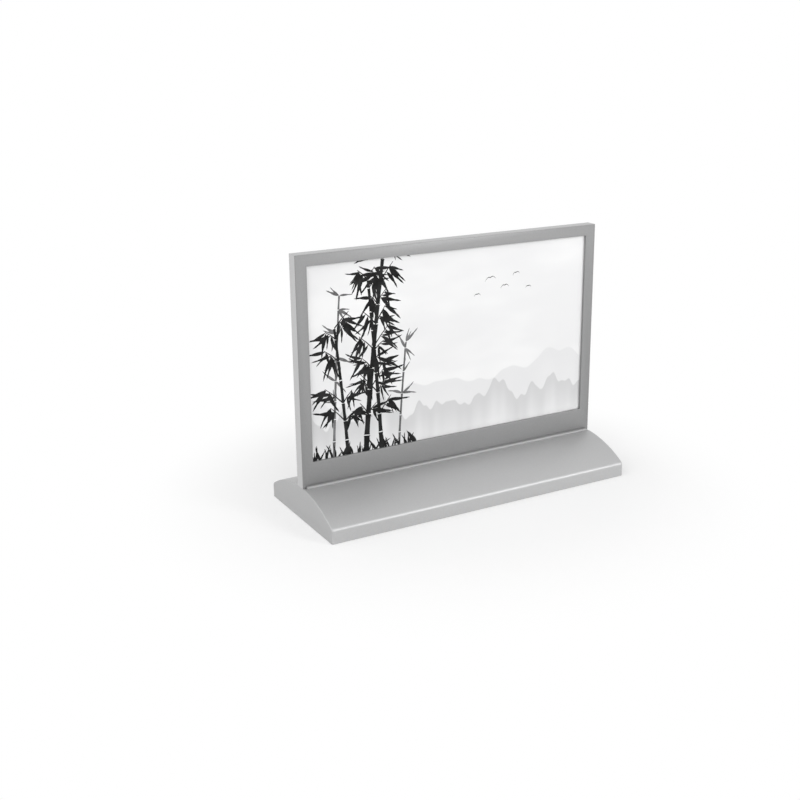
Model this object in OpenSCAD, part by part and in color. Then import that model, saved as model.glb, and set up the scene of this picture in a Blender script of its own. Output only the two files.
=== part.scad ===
// Electronic paper table sign: a double-sided display head that stands in the slot of a low arched base.
// Millimetres. The origin is on the table under the middle of the sign, the front faces -Y and +Z is up.
// The head is a stack that is the same on both sides of y = 0. The base is an extruded arch with end caps.

/* [Display module] */
// Width of the display glass
glass_w = 170.2; // [160:0.1:185]
// Height of the display glass
glass_h = 111.2; // [107:0.1:125]
// Thickness of the display glass
glass_t = 0.7; // [0.6:0.05:1]
// Glass left beside the picture area
glass_side = 3.5; // [2.4:0.1:8]
// Glass left above the picture area
glass_up = 3.5; // [2.4:0.1:8]
// Glass left below the picture area
glass_low = 9.8; // [8:0.1:14]
// Thickness of the ink sheet on the glass
ink_t = 0.48; // [0.45:0.01:0.8]
// How far the ink sheet reaches past the picture area
ink_margin = 1.5; // [0.8:0.1:1.8]
// Length of the driver chip on the glass ledge
chip_l = 24; // [16:0.5:30]
// Height of the driver chip
chip_h = 1.6; // [1:0.1:2.4]
// Thickness of the driver chip
chip_t = 0.4; // [0.3:0.05:0.6]
// Width of the flat cable of each display
tail_w = 25; // [16:0.5:30]
// Thickness of the flat cables
tail_t = 0.12; // [0.1:0.01:0.2]

/* [Head] */
// Thickness of the bezel plates
bezel_t = 1.3; // [1:0.05:2]
// Wall of the frame at its two sides
frame_side = 2.6; // [2:0.1:4]
// Wall of the frame along the top
frame_top = 2.1; // [1.6:0.1:4]
// Height of the frame's bottom rail
rail_h = 3.1; // [2.4:0.1:6]
// Gap between the glass and the frame
glass_gap = 0.3; // [0.2:0.05:0.6]
// Bezel opening past the picture area at the sides
sight_side = 0.45; // [0.2:0.05:0.8]
// Bezel opening past the picture area at top and bottom
sight_top = 0.1; // [0.05:0.05:0.5]
// Thickness of the plate between the two displays
core_t = 1.2; // [0.8:0.1:2]
// Thickness of the bonding sheets behind the displays
bond_t = 0.12; // [0.1:0.01:0.3]
// Thickness of the dust gaskets behind the bezels
gasket_t = 0.2; // [0.1:0.05:0.4]
// How far the tongue goes down into the base
tongue_h = 9.3; // [7:0.1:9.4]

/* [Base] */
// Depth of the base, front to back
base_d = 71; // [69:0.5:84]
// Height of the top of the arch over the table
crown_z = 17.7; // [17.2:0.1:22]
// Height at which the arched top would meet the front and back faces without its rounding
edge_z = 7.5; // [7:0.1:9]
// Radius of the rounded shoulder along the front and back
shoulder_r = 2; // [1:0.1:2.6]
// Wall of the base shell
shell_t = 1.8; // [1.4:0.1:2]
// Thickness of the end caps
cap_t = 2.5; // [2:0.1:4]
// Radius of the upright corners of the end caps
corner_r = 0.8; // [0.5:0.1:2.4]
// Height of the lips beside the head over the crown
lip_h = 1.3; // [1.2:0.1:3]
// Width of each lip
lip_w = 1.8; // [1.4:0.1:3]
// Rounding of the outer edge of each lip
lip_r = 1.3; // [0.4:0.1:1.4]
// Distance of the lips' ends from the ends of the base
lip_end = 1.5; // [1:0.1:1.9]
// Wall of the channel that holds the tongue
channel_t = 1.6; // [1.2:0.1:2]
// Thickness of the channel floor
channel_floor = 1.8; // [1.4:0.1:2.2]
// Thickness of the bottom plate
plate_t = 2; // [1.9:0.1:2.2]
// Diameter of the rubber feet
foot_d = 9; // [6:0.5:11]

/* [Power] */
// Number of coin cells
cell_n = 4; // [2:1:4]
// Depth left beside the coin cells, between the channel and the wall
cell_side = 5.4; // [5.3:0.1:9]
// Thickness of a coin cell
cell_t = 5; // [3:0.1:5.2]
// Travel of the battery door before it comes free
door_travel = 8; // [7.5:0.1:10]
// Thickness of the battery door
door_t = 1; // [0.8:0.1:1.1]

/* [Controls and board] */
// Width of the page button
button_w = 9; // [6:0.5:12]
// Height of the page button
button_h = 2.4; // [1.8:0.1:2.5]
// Travel of the page button
button_travel = 0.5; // [0.3:0.05:0.6]
// Length of the circuit board
board_l = 120; // [100:1:135]
// Thickness of the circuit board
board_t = 1; // [0.8:0.1:1.6]
// Radius of the light pipe
pipe_r = 1; // [0.7:0.05:1.1]

/* [Screws] */
// Shank radius of the case screws
case_screw_r = 1.2; // [0.9:0.05:1.25]
// Head radius of the case screws
case_head_r = 2.2; // [1.8:0.1:2.4]
// Shank radius of the small screws
small_screw_r = 0.95; // [0.75:0.05:1]
// Head radius of the small screws
small_head_r = 1.9; // [1.5:0.1:2]

/* [Hidden] */
$fn = 64;
// Overrun of every cut
cut = 1;
// Steps of the arch, of a fillet and of a bend
arch_n = 64;
fillet_n = 10;
// Free play of a sliding piece, of a screw in its hole and of one fixed piece in another
slide_gap = 0.15;
screw_gap = 0.05;
seat_gap = 0.1;
loose_gap = 0.3;

// Half thicknesses of the head's stack, from the middle outwards
core_y = core_t / 2;
bond_y = core_y + bond_t;
glass_y = bond_y + glass_t;
ink_y = glass_y + ink_t;
frame_y = ink_y + gasket_t;
bezel_y = frame_y + bezel_t;

// Width of the whole sign, and the saddle that the head stands on between the lips
sign_w = glass_w + 2 * (glass_gap + frame_side);
saddle_drop = 0.2;
saddle_z = crown_z - saddle_drop;
lip_z = crown_z + lip_h;
cavity_z = saddle_z + rail_h;
glass_z = cavity_z + glass_gap;
glass_top = glass_z + glass_h;
sign_h = glass_top + glass_gap + frame_top;
active_w = glass_w - 2 * glass_side;
active_z0 = glass_z + glass_low;
active_z1 = glass_top - glass_up;
ink_x = active_w / 2 + ink_margin;
ink_z0 = active_z0 - ink_margin;
ink_z1 = active_z1 + ink_margin;
sight_x = active_w / 2 + sight_side;
sight_z0 = active_z0 - sight_top;
sight_z1 = active_z1 + sight_top;
gasket_set = 0.2;

// Levels of the base, from the table up
foot_proud = 0.3;
plate_set = 0.3;
plate_z0 = foot_proud + plate_set;
plate_z1 = plate_z0 + plate_t;
half_d = base_d / 2;
arch_rise = crown_z - edge_z;
arch_r = (half_d * half_d + arch_rise * arch_rise) / (2 * arch_rise);
arch_cz = crown_z - arch_r;
wall_y = half_d - shell_t;
shell_x = sign_w / 2 - cap_t;
inner_r = 0.6;
ledge_w = 1.2;
ledge_h = 1;
plate_x = shell_x - seat_gap;
plate_y = wall_y - slide_gap;

// The slot, its channel and the tongue in it
slot_y = frame_y + seat_gap;
channel_y = slot_y + channel_t;
lip_y = bezel_y + seat_gap;
tongue_z = saddle_z - tongue_h;
floor_z1 = tongue_z - seat_gap;
floor_z0 = floor_z1 - channel_floor;
tongue_end = 1.2;
tongue_x = shell_x - tongue_end;
tongue_side = 7.5;
floor_side = 5.5;
tongue_break = tail_w / 2 + tongue_side;
floor_break = tail_w / 2 + floor_side;
rail_web = 0.55;

// Case screws: from below into the tongue, and through the bottom plate
case_head_h = 1;
case_screw_l = 5.6;
tongue_screw_l = 7;
tongue_head_h = 1.4;
tongue_screw_shares = [0.33, 0.73];
middle_screw_share = 0.82;
middle_screw_x = shell_x * middle_screw_share;
cap_boss_l = 9;
cap_boss_w = 6;
cap_screw_end = 6;
cap_screw_x = shell_x - cap_screw_end;
cap_screw_in = 18;
cap_screw_y = half_d - cap_screw_in;
head_sink = 0.1;
case_head_z = plate_z0 + head_sink;
case_tip_z = case_head_z + case_head_h + case_screw_l;
cross_share = 0.25;
post_wall = 1.3;
case_bore_r = case_screw_r + screw_gap;
post_r = case_bore_r + post_wall;

// End caps
spigot_l = 3;
spigot_t = 1.4;
spigot_low = 3;
spigot_side = 4;

// Feet
foot_h = 1.5;
foot_edge = 3;
foot_side = 1.5;
foot_x = shell_x - foot_edge - foot_d / 2;
foot_y = wall_y - foot_side - foot_d / 2;

// Coin cells in a row beside the channel, their tray and the door under them
cell_r = (wall_y - channel_y - cell_side) / 2;
cell_gap = 0.3;
pocket_r = cell_r + cell_gap;
pocket_wall = 1.1;
cell_pitch = 2 * pocket_r + pocket_wall;
tray_wall = 0.65;
tray_y1 = -channel_y - loose_gap;
cell_y = tray_y1 - tray_wall - pocket_r;
door_web = 0.9;
web_z = plate_z1 - door_web;
door_z0 = plate_z0;
door_z1 = door_z0 + door_t;
cell_z0 = door_z1 + slide_gap;
cell_z1 = cell_z0 + cell_t;
cell_cap_h = 0.8;
cell_cap_in = 1.3;
spring_room = 0.95;
pocket_z = cell_z1 + cell_gap / 2;
tray_roof = 1;
tray_z1 = pocket_z + spring_room + tray_roof;
row_x = (cell_n - 1) / 2 * cell_pitch;
tray_x = row_x + pocket_r + pocket_wall;
strip_t = 0.25;
blade_w = 5;
bus_w = 2.2;
leaf_w = 2;
leaf_half = 4;
leaf_low = 0.8;
ear_l = 5.5;
ear_t = 1.2;
ear_w = 6;

// Door: a panel in a recess of the plate, with hooks that reach over the web of the plate
hook_w = 6;
hook_reach = 0.8;
hook_stem = 0.7;
hook_lift = 0.15;
hook_t = 0.6;
hook_z0 = plate_z1 + hook_lift;
hook_z1 = hook_z0 + hook_t;
notch_x = hook_w / 2 + loose_gap;
hatch_gap = 1.1;
hatch_y0 = cell_y - pocket_r - hatch_gap;
hatch_y1 = cell_y + pocket_r + hatch_gap - slide_gap;
hatch_x = tray_x - pocket_wall + loose_gap;
door_lap = 1.4;
door_x = hatch_x + door_lap;
door_y0 = hatch_y0 - door_lap;
door_y1 = hatch_y1 + door_lap;
grip_n = 5;
grip_pitch = 1.8;
grip_w = 0.9;
grip_deep = 0.4;
grip_share = 0.5;

// Circuit board beside the channel at the back, carried by posts of the bottom plate
board_low = 2.3;
board_z0 = plate_z1 + board_low;
board_z1 = board_z0 + board_t;
board_side = 2.2;
board_y0 = channel_y + board_side;
board_edge = 2.9;
board_y1 = wall_y - board_edge;
board_hole_in = 4.4;
small_head_h = 1.2;
small_screw_l = 4;
small_post_wall = 1.2;
small_bore_r = small_screw_r + screw_gap;
small_post_r = small_bore_r + small_post_wall;
board_clear = 0.25;

// Connectors of the flat cables, one on each side of the board
socket_l = tail_w + 2;
socket_d = 4;
socket_h = 1.5;
socket_in = 1;
tail_in = 1.6;
tail_bend = 1;
tail_bond = 2.4;
tail_play = 0.05;
rear_run_z = board_z1 + socket_h / 2;
front_run_z = board_z0 - socket_h / 2;

// Page button, the switch that it presses, and the light pipe
control_drop = 0.9;
control_z = board_z0 - control_drop;
button_set = 0.1;
button_wing = 2;
wing_t = 1.1;
wing_gap = 0.2;
nub_w = 2.6;
nub_h = 1.2;
plunger_h = 0.6;
switch_w = 4.7;
switch_d = 3.6;
plunger_deep = 2.2;
pipe_x = 12;
pipe_flange = 0.3;
pipe_flange_t = 1.1;
led_w = 1.6;
led_d = 0.9;
lead_r = 0.55;
lead_pitch = 2.5;
lead_side = 6.2;
lead_x = tongue_x * tongue_screw_shares[0] + lead_side;
plug_w = 6;
plug_d = 5;
radio_l = 17;
radio_w = 12;
radio_h = 2;
radio_base = 0.8;
radio_end = 8;
lid_in = 0.7;
antenna_share = 0.3;

// Points of an arc from angle a0 to a1
function arc(c, r, a0, a1, n) =
    [for (i = [0 : n]) let (a = a0 + (a1 - a0) * i / n) [c[0] + r * cos(a), c[1] + r * sin(a)]];

// Outline of the arched base in (y, z), moved inwards by a wall, with its shoulders rounded by r
function arch_outline(wall, r, z0) =
    let (
        hd = half_d - wall,
        ar = arch_r - wall,
        fy = hd - r,
        fz = arch_cz + sqrt(pow(ar - r, 2) - fy * fy),
        a = atan2(fz - arch_cz, fy)
    )
    concat(
        [[hd, z0]],
        arc([fy, fz], r, 0, a, fillet_n),
        arc([0, arch_cz], ar, a, 180 - a, arch_n),
        arc([-fy, fz], r, 180 - a, 180, fillet_n),
        [[-hd, z0]]
    );

// A rectangle given by its two corners
module rect(x0, y0, x1, y1) {
    translate([x0, y0]) square([x1 - x0, y1 - y0]);
}

// A box given by its two corners
module block(p, q) {
    translate(p) cube(q - p);
}

// An outline in (x, z) between two depths
module plate_y(y0, y1) {
    translate([0, y1, 0]) rotate([90, 0, 0]) linear_extrude(y1 - y0) children();
}

// An outline in (y, z) between two places along the width
module bar_x(x0, x1) {
    translate([x0, 0, 0]) rotate([90, 0, 90]) linear_extrude(x1 - x0) children();
}

// An upright rod
module rod_z(p, r, z0, z1) {
    translate([p[0], p[1], z0]) cylinder(h = z1 - z0, r = r);
}

// A rod that lies front to back
module rod_y(x, z, r, y0, y1) {
    translate([x, y1, z]) rotate([90, 0, 0]) cylinder(h = y1 - y0, r = r);
}

// The same piece on the left and on the right
module both_sides() {
    children();
    mirror([1, 0, 0]) children();
}

// Places of the coin cells
function cell_x(i) = -row_x + i * cell_pitch;

// Head

// The ring round the displays, with the tongue that goes into the base
module frame_outline() {
    difference() {
        rect(-sign_w / 2, saddle_z, sign_w / 2, sign_h);
        rect(-glass_w / 2 - glass_gap, cavity_z, glass_w / 2 + glass_gap, glass_top + glass_gap);
    }
}

module mid_frame() {
    color("gainsboro")
    difference() {
        union() {
            plate_y(-frame_y, frame_y) frame_outline();
            both_sides() block([tongue_break, -frame_y, tongue_z], [tongue_x, frame_y, cavity_z]);
        }
        // Pockets for the two flat cables, with a web between them
        for (side = [0, 1])
            mirror([0, side, 0])
                block(
                    [-tongue_break, rail_web, saddle_z - cut],
                    [tongue_break, frame_y + cut, cavity_z + cut]
                );
        // Tapped holes for the screws from below
        both_sides()
            for (share = tongue_screw_shares)
                rod_z([tongue_x * share, 0], case_bore_r, tongue_z - cut, tongue_z + tongue_screw_l);
    }
}

module bezel() {
    plate_y(-bezel_y, -frame_y)
        difference() {
            rect(-sign_w / 2, saddle_z, sign_w / 2, sign_h);
            rect(-sight_x, sight_z0, sight_x, sight_z1);
        }
}

module front_bezel() {
    color("silver") bezel();
}

module rear_bezel() {
    color("silver") mirror([0, 1, 0]) bezel();
}

// A thin ring between the bezel and the edge of the ink sheet
module gasket() {
    plate_y(-frame_y, -ink_y)
        difference() {
            rect(-ink_x, ink_z0, ink_x, ink_z1);
            rect(-sight_x - gasket_set, sight_z0 - gasket_set, sight_x + gasket_set, sight_z1 + gasket_set);
        }
}

module front_gasket() {
    color("dimgray") gasket();
}

module rear_gasket() {
    color("dimgray") mirror([0, 1, 0]) gasket();
}

module ink_sheet() {
    plate_y(-ink_y, -glass_y)
        rect(-ink_x, ink_z0, ink_x, ink_z1);
}

module front_ink_sheet() {
    color("whitesmoke") ink_sheet();
}

module rear_ink_sheet() {
    color("whitesmoke") mirror([0, 1, 0]) ink_sheet();
}

module glass_sheet(y0, y1) {
    plate_y(y0, y1) rect(-glass_w / 2, glass_z, glass_w / 2, glass_top);
}

module front_glass() {
    color("lightsteelblue") glass_sheet(-glass_y, -bond_y);
}

module rear_glass() {
    color("lightsteelblue") glass_sheet(bond_y, glass_y);
}

module front_bond_sheet() {
    color("khaki") glass_sheet(-bond_y, -core_y);
}

module rear_bond_sheet() {
    color("khaki") glass_sheet(core_y, bond_y);
}

module core_plate() {
    color("darkgray") glass_sheet(-core_y, core_y);
}

// One driver chip on the ledge of each glass, halfway between its lower edge and the ink sheet
module driver_chips() {
    z0 = (glass_z + tail_bond + ink_z0 - chip_h) / 2;
    color("#222222")
    for (side = [0, 1])
        mirror([0, side, 0])
            block([-chip_l / 2, -glass_y - chip_t, z0], [chip_l / 2, -glass_y, z0 + chip_h]);
}

// A flat cable that hangs from the glass ledge and turns to the back, in (y, z)
module tail(y, run_z) {
    c = [y + tail_bend, run_z + tail_bend];
    end_y = board_y0 + socket_in + tail_in;
    bar_x(-tail_w / 2, tail_w / 2)
        polygon(concat(
            [[y - tail_t / 2, glass_z + tail_bond], [y + tail_t / 2, glass_z + tail_bond]],
            arc(c, tail_bend - tail_t / 2, 180, 270, fillet_n),
            [[end_y, run_z + tail_t / 2], [end_y, run_z - tail_t / 2]],
            arc(c, tail_bend + tail_t / 2, 270, 180, fillet_n)
        ));
}

module front_tail() {
    color("darkorange") tail(-glass_y - tail_t / 2, front_run_z);
}

module rear_tail() {
    color("darkorange") tail(glass_y + tail_t / 2, rear_run_z);
}

// Base

// A low ridge along the crown with rounded edges, which the saddle parts into two lips, in (y, z)
module ridge_outline() {
    y1 = lip_y + lip_w;
    c = [y1 - lip_r, lip_z - lip_r];
    polygon(concat(
        [[-y1, saddle_z - lip_h], [y1, saddle_z - lip_h]],
        arc(c, lip_r, 0, 90, fillet_n),
        arc([-c[0], c[1]], lip_r, 90, 180, fillet_n)
    ));
}

// The outer outline of the base with its lips and the saddle between them, in (y, z)
module base_outline() {
    difference() {
        union() {
            polygon(arch_outline(0, shoulder_r, foot_proud));
            ridge_outline();
        }
        rect(-lip_y, saddle_z, lip_y, lip_z + cut);
    }
}

// The cross-section of the extruded shell: skin, channel and the ledges for the bottom plate
module shell_outline() {
    difference() {
        union() {
            difference() {
                base_outline();
                polygon(arch_outline(shell_t, inner_r, foot_proud - cut));
            }
            rect(-channel_y, floor_z0, channel_y, saddle_z);
            rect(wall_y - ledge_w, plate_z1, wall_y + seat_gap, plate_z1 + ledge_h);
            rect(-wall_y - seat_gap, plate_z1, -wall_y + ledge_w, plate_z1 + ledge_h);
        }
        rect(-slot_y, floor_z1, slot_y, saddle_z + cut);
    }
}

module base_shell() {
    color("silver")
    difference() {
        bar_x(-shell_x, shell_x) shell_outline();
        // The way through the channel for the flat cables
        block([-floor_break, -channel_y - cut, floor_z0 - cut], [floor_break, channel_y + cut, floor_z1]);
        // Holes for the screws into the tongue and for the screws through the plate
        both_sides() {
            for (share = tongue_screw_shares)
                rod_z([tongue_x * share, 0], case_screw_r + seat_gap, floor_z0 - cut, floor_z1 + cut);
            rod_z([middle_screw_x, 0], case_bore_r, floor_z0 - cut, floor_z1 + cut);
        }
        // The page button's hole, and the ledge cut away behind it
        plate_y(wall_y - cut, half_d + cut) stadium(button_w + 2 * slide_gap, button_h + 2 * slide_gap);
        block(
            [-button_w / 2 - button_wing - loose_gap, wall_y - ledge_w - cut, plate_z1 - cut],
            [button_w / 2 + button_wing + loose_gap, wall_y, control_z + button_h / 2 + loose_gap]
        );
        // The light pipe's hole, and the ledge cut away behind it
        rod_y(pipe_x, control_z, pipe_r + seat_gap, wall_y - cut, half_d + cut);
        block(
            [pipe_x - pipe_r - pipe_flange - loose_gap, wall_y - ledge_w - cut, plate_z1 - cut],
            [pipe_x + pipe_r + pipe_flange + loose_gap, wall_y, control_z + pipe_r + pipe_flange]
        );
    }
}

// An upright outline with round ends at the height of the controls, in (x, z)
module stadium(w, h) {
    translate([0, control_z]) {
        square([w - h, h], center = true);
        for (x = [-1, 1])
            translate([x * (w - h) / 2, 0]) circle(d = h);
    }
}

// The rounded plan of the base, with round upright corners
module corner_outline() {
    x = sign_w / 2 - corner_r;
    y = half_d - corner_r;
    polygon(concat(
        arc([x, y], corner_r, 0, 90, fillet_n),
        arc([-x, y], corner_r, 90, 180, fillet_n),
        arc([-x, -y], corner_r, 180, 270, fillet_n),
        arc([x, -y], corner_r, 270, 360, fillet_n)
    ));
}

// The right end cap: a plate of the base's outline, on which the lips end, with a spigot under the arch and
// two screw bosses
module end_cap() {
    intersection() {
        difference() {
            union() {
                bar_x(shell_x, sign_w / 2) polygon(arch_outline(0, shoulder_r, foot_proud));
                bar_x(shell_x, sign_w / 2 - lip_end) ridge_outline();
            }
            bar_x(shell_x - cut, sign_w / 2 + cut) rect(-lip_y, saddle_z, lip_y, lip_z + cut);
        }
        linear_extrude(lip_z) corner_outline();
    }
    bar_x(shell_x - spigot_l, shell_x)
        for (side = [0, 1])
            mirror([side, 0])
                intersection() {
                    difference() {
                        polygon(arch_outline(shell_t + slide_gap, inner_r, foot_proud));
                        polygon(arch_outline(shell_t + spigot_t, inner_r, foot_proud - cut));
                    }
                    rect(channel_y + loose_gap, plate_z1 + spigot_low, wall_y - spigot_side, crown_z);
                }
    for (side = [0, 1])
        mirror([0, side, 0])
            difference() {
                block(
                    [shell_x - cap_boss_l, cap_screw_y - cap_boss_w / 2, plate_z1],
                    [shell_x, cap_screw_y + cap_boss_w / 2, case_tip_z + cut]
                );
                rod_z([cap_screw_x, cap_screw_y], case_bore_r, plate_z1 - cut, case_tip_z);
            }
}

module right_end_cap() {
    color("silver") end_cap();
}

module left_end_cap() {
    color("silver") mirror([1, 0, 0]) end_cap();
}

// Places of the case screws in the bottom plate
case_screw_places = [
    [middle_screw_x, 0], [-middle_screw_x, 0],
    [cap_screw_x, cap_screw_y], [-cap_screw_x, cap_screw_y],
    [cap_screw_x, -cap_screw_y], [-cap_screw_x, -cap_screw_y]
];

// Places of the board's screws and of the tray's screws
board_hole_x = board_l / 2 - board_hole_in;
board_screw_places = [
    for (x = [-1, 1], y = [board_y0 + board_hole_in, board_y1 - board_hole_in]) [x * board_hole_x, y]
];
ear_x = tray_x + ear_l / 2;
ear_z = plate_z1 + board_low;
tray_screw_places = [[-ear_x, cell_y], [ear_x, cell_y]];

// Places of the door's hooks, which stand between the coin cells
hook_places = [for (i = [1 : cell_n - 1]) cell_x(i) - cell_pitch / 2];

module bottom_plate() {
    color("dimgray")
    difference() {
        union() {
            block([-plate_x, -plate_y, plate_z0], [plate_x, plate_y, plate_z1]);
            for (x = [-1, 1])
                rod_z([x * middle_screw_x, 0], post_r, plate_z0, floor_z0);
            for (p = board_screw_places)
                rod_z(p, small_post_r, plate_z1, board_z0);
            for (p = tray_screw_places)
                rod_z(p, small_post_r, plate_z1, ear_z);
        }
        // The recess that the door slides in, and the hatch under the cells
        block(
            [-door_x - slide_gap, door_y0 - slide_gap, plate_z0 - cut],
            [door_x + door_travel + loose_gap, door_y1 + slide_gap, web_z]
        );
        block([-hatch_x, hatch_y0, plate_z0 - cut], [hatch_x, hatch_y1, plate_z1 + cut]);
        // Notches that let the hooks out once the door has slid
        for (x = hook_places)
            block(
                [x + door_travel - notch_x, hatch_y0 - hook_reach - loose_gap, plate_z0 - cut],
                [x + door_travel + notch_x, hatch_y1 + hook_reach + loose_gap, plate_z1 + cut]
            );
        // Holes and sinks of the case screws
        for (p = case_screw_places) {
            rod_z(p, case_screw_r + seat_gap, plate_z0 - cut, crown_z);
            rod_z(p, case_head_r + loose_gap, plate_z0 - cut, case_head_z + case_head_h);
        }
        // Pilot holes of the small screws
        for (p = board_screw_places)
            rod_z(p, small_bore_r, board_z1 - small_screw_l - loose_gap, crown_z);
        for (p = tray_screw_places)
            rod_z(p, small_bore_r, ear_z + ear_t - small_screw_l - loose_gap, crown_z);
        // Sinks of the feet
        for (x = [-1, 1], y = [-1, 1])
            rod_z([x * foot_x, y * foot_y], foot_d / 2 + seat_gap, plate_z0 - cut, foot_h);
    }
}

module rubber_feet() {
    color("#2b2b2b")
    for (x = [-1, 1], y = [-1, 1])
        rod_z([x * foot_x, y * foot_y], foot_d / 2, 0, foot_h);
}

// A screw that points up, with its head at the bottom and a cross cut in the head
module screw_up(p, head_r, head_h, shank_r, z_head, z_tip) {
    difference() {
        union() {
            rod_z(p, head_r, z_head, z_head + head_h);
            rod_z(p, shank_r, z_head, z_tip);
        }
        translate([p[0], p[1], z_head])
            for (turn = [0, 90])
                rotate([0, 0, turn]) cube([head_r, head_r * cross_share, head_h], center = true);
    }
}

module case_screws() {
    color("lightslategray")
    for (p = case_screw_places)
        screw_up(p, case_head_r, case_head_h, case_screw_r, case_head_z, case_tip_z);
}

module tongue_screws() {
    color("lightslategray")
    both_sides()
        for (share = tongue_screw_shares)
            screw_up(
                [tongue_x * share, 0], case_head_r, tongue_head_h, case_screw_r,
                floor_z0 - tongue_head_h, tongue_z + tongue_screw_l - loose_gap
            );
}

// A screw that points down, drawn by turning the upward one over at its head
module screw_down(p, z_head) {
    translate([p[0], p[1], z_head])
        mirror([0, 0, 1])
            translate([0, 0, -small_head_h])
                screw_up([0, 0], small_head_r, small_head_h, small_screw_r, 0, small_head_h + small_screw_l);
}

module board_screws() {
    color("lightslategray") {
        for (p = board_screw_places)
            screw_down(p, board_z1);
        for (p = tray_screw_places)
            screw_down(p, ear_z + ear_t);
    }
}

module main_board() {
    color("seagreen")
    difference() {
        block([-board_l / 2, board_y0, board_z0], [board_l / 2, board_y1, board_z1]);
        for (p = board_screw_places)
            rod_z(p, small_screw_r + board_clear, board_z0 - cut, board_z1 + cut);
    }
}

// Radio module: a small carrier with a metal lid
radio_x = -board_hole_x + radio_end;

module radio_module() {
    x0 = radio_x;
    y0 = (board_y0 + board_y1 - radio_w) / 2;
    color("lightgray") {
        block([x0, y0, board_z1], [x0 + radio_l, y0 + radio_w, board_z1 + radio_base]);
        block(
            [x0 + radio_l * antenna_share, y0 + lid_in, board_z1 + radio_base],
            [x0 + radio_l - lid_in, y0 + radio_w - lid_in, board_z1 + radio_h]
        );
    }
}

// Power coil, two storage capacitors, two power chips and the main chip, which stands beside the radio
// module. Their places are shares of the board's length and width
coil_r = 2.4;
coil_h = 2;
tank_r = 1.6;
tank_h = 3;
power_chip = 4;
main_chip = 7;
chip_rise = 0.9;
coil_share = [0.26, 0.5];
tank_shares = [[0.34, 0.38], [0.34, 0.62]];
power_chip_shares = [[0.2, 0.3], [0.2, 0.68]];
main_chip_gap = 5.5;
main_chip_share = [(radio_x + radio_l + main_chip_gap + main_chip / 2) / board_l, 0.6];
function on_board(share) = [board_l * share[0], board_y0 + (board_y1 - board_y0) * share[1]];

module chip(share, side) {
    p = on_board(share);
    translate([p[0] - side / 2, p[1] - side / 2, board_z1]) cube([side, side, chip_rise]);
}

module board_parts() {
    color("#333333") {
        rod_z(on_board(coil_share), coil_r, board_z1, board_z1 + coil_h);
        for (share = tank_shares)
            rod_z(on_board(share), tank_r, board_z1, board_z1 + tank_h);
        for (share = power_chip_shares)
            chip(share, power_chip);
        chip(main_chip_share, main_chip);
    }
}

// The sockets of the flat cables, over and under the board
module tail_sockets() {
    y0 = board_y0 + socket_in;
    color("ivory")
    for (z = [board_z1, board_z0 - socket_h])
        difference() {
            block([-socket_l / 2, y0, z], [socket_l / 2, y0 + socket_d, z + socket_h]);
            block(
                [-tail_w / 2 - tail_play, y0 - cut, z + socket_h / 2 - tail_t / 2 - tail_play],
                [tail_w / 2 + tail_play, y0 + tail_in + tail_play, z + socket_h / 2 + tail_t / 2 + tail_play]
            );
        }
}

// The switch under the board's edge, with a way in for its plunger
switch_y1 = board_y1;
plunger_y1 = wall_y - wing_gap - wing_t - loose_gap;

module page_switch() {
    z0 = 2 * control_z - board_z0;
    well = plunger_deep + button_travel + slide_gap;
    color("#444444")
    difference() {
        block([-switch_w / 2, switch_y1 - switch_d, z0], [switch_w / 2, switch_y1, board_z0]);
        block(
            [-nub_w / 2 - slide_gap, switch_y1 - well, control_z - plunger_h / 2 - slide_gap],
            [nub_w / 2 + slide_gap, switch_y1 + cut, control_z + plunger_h / 2 + slide_gap]
        );
    }
}

module switch_plunger() {
    color("firebrick")
        block(
            [-nub_w / 2, switch_y1 - plunger_deep, control_z - plunger_h / 2],
            [nub_w / 2, plunger_y1, control_z + plunger_h / 2]
        );
}

// The button: an oblong cap through the wall, wings that stop it and a nub on the plunger
module page_button() {
    wing_y1 = wall_y - wing_gap;
    color("gray") {
        plate_y(wing_y1 - wing_t, half_d - button_set) stadium(button_w, button_h);
        plate_y(wing_y1 - wing_t, wing_y1) stadium(button_w + 2 * button_wing, button_h);
        block(
            [-nub_w / 2, plunger_y1, control_z - nub_h / 2],
            [nub_w / 2, wing_y1 - wing_t, control_z + nub_h / 2]
        );
    }
}

module status_led() {
    color("palegreen")
        block(
            [pipe_x - led_w / 2, board_y1 - led_d, control_z - pipe_r / 2],
            [pipe_x + led_w / 2, board_y1, board_z0]
        );
}

module light_pipe() {
    color("white") {
        rod_y(pipe_x, control_z, pipe_r, board_y1 + loose_gap, half_d - button_set);
        rod_y(pipe_x, control_z, pipe_r + pipe_flange, wall_y - seat_gap - pipe_flange_t, wall_y - seat_gap);
    }
}

// Power

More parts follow.
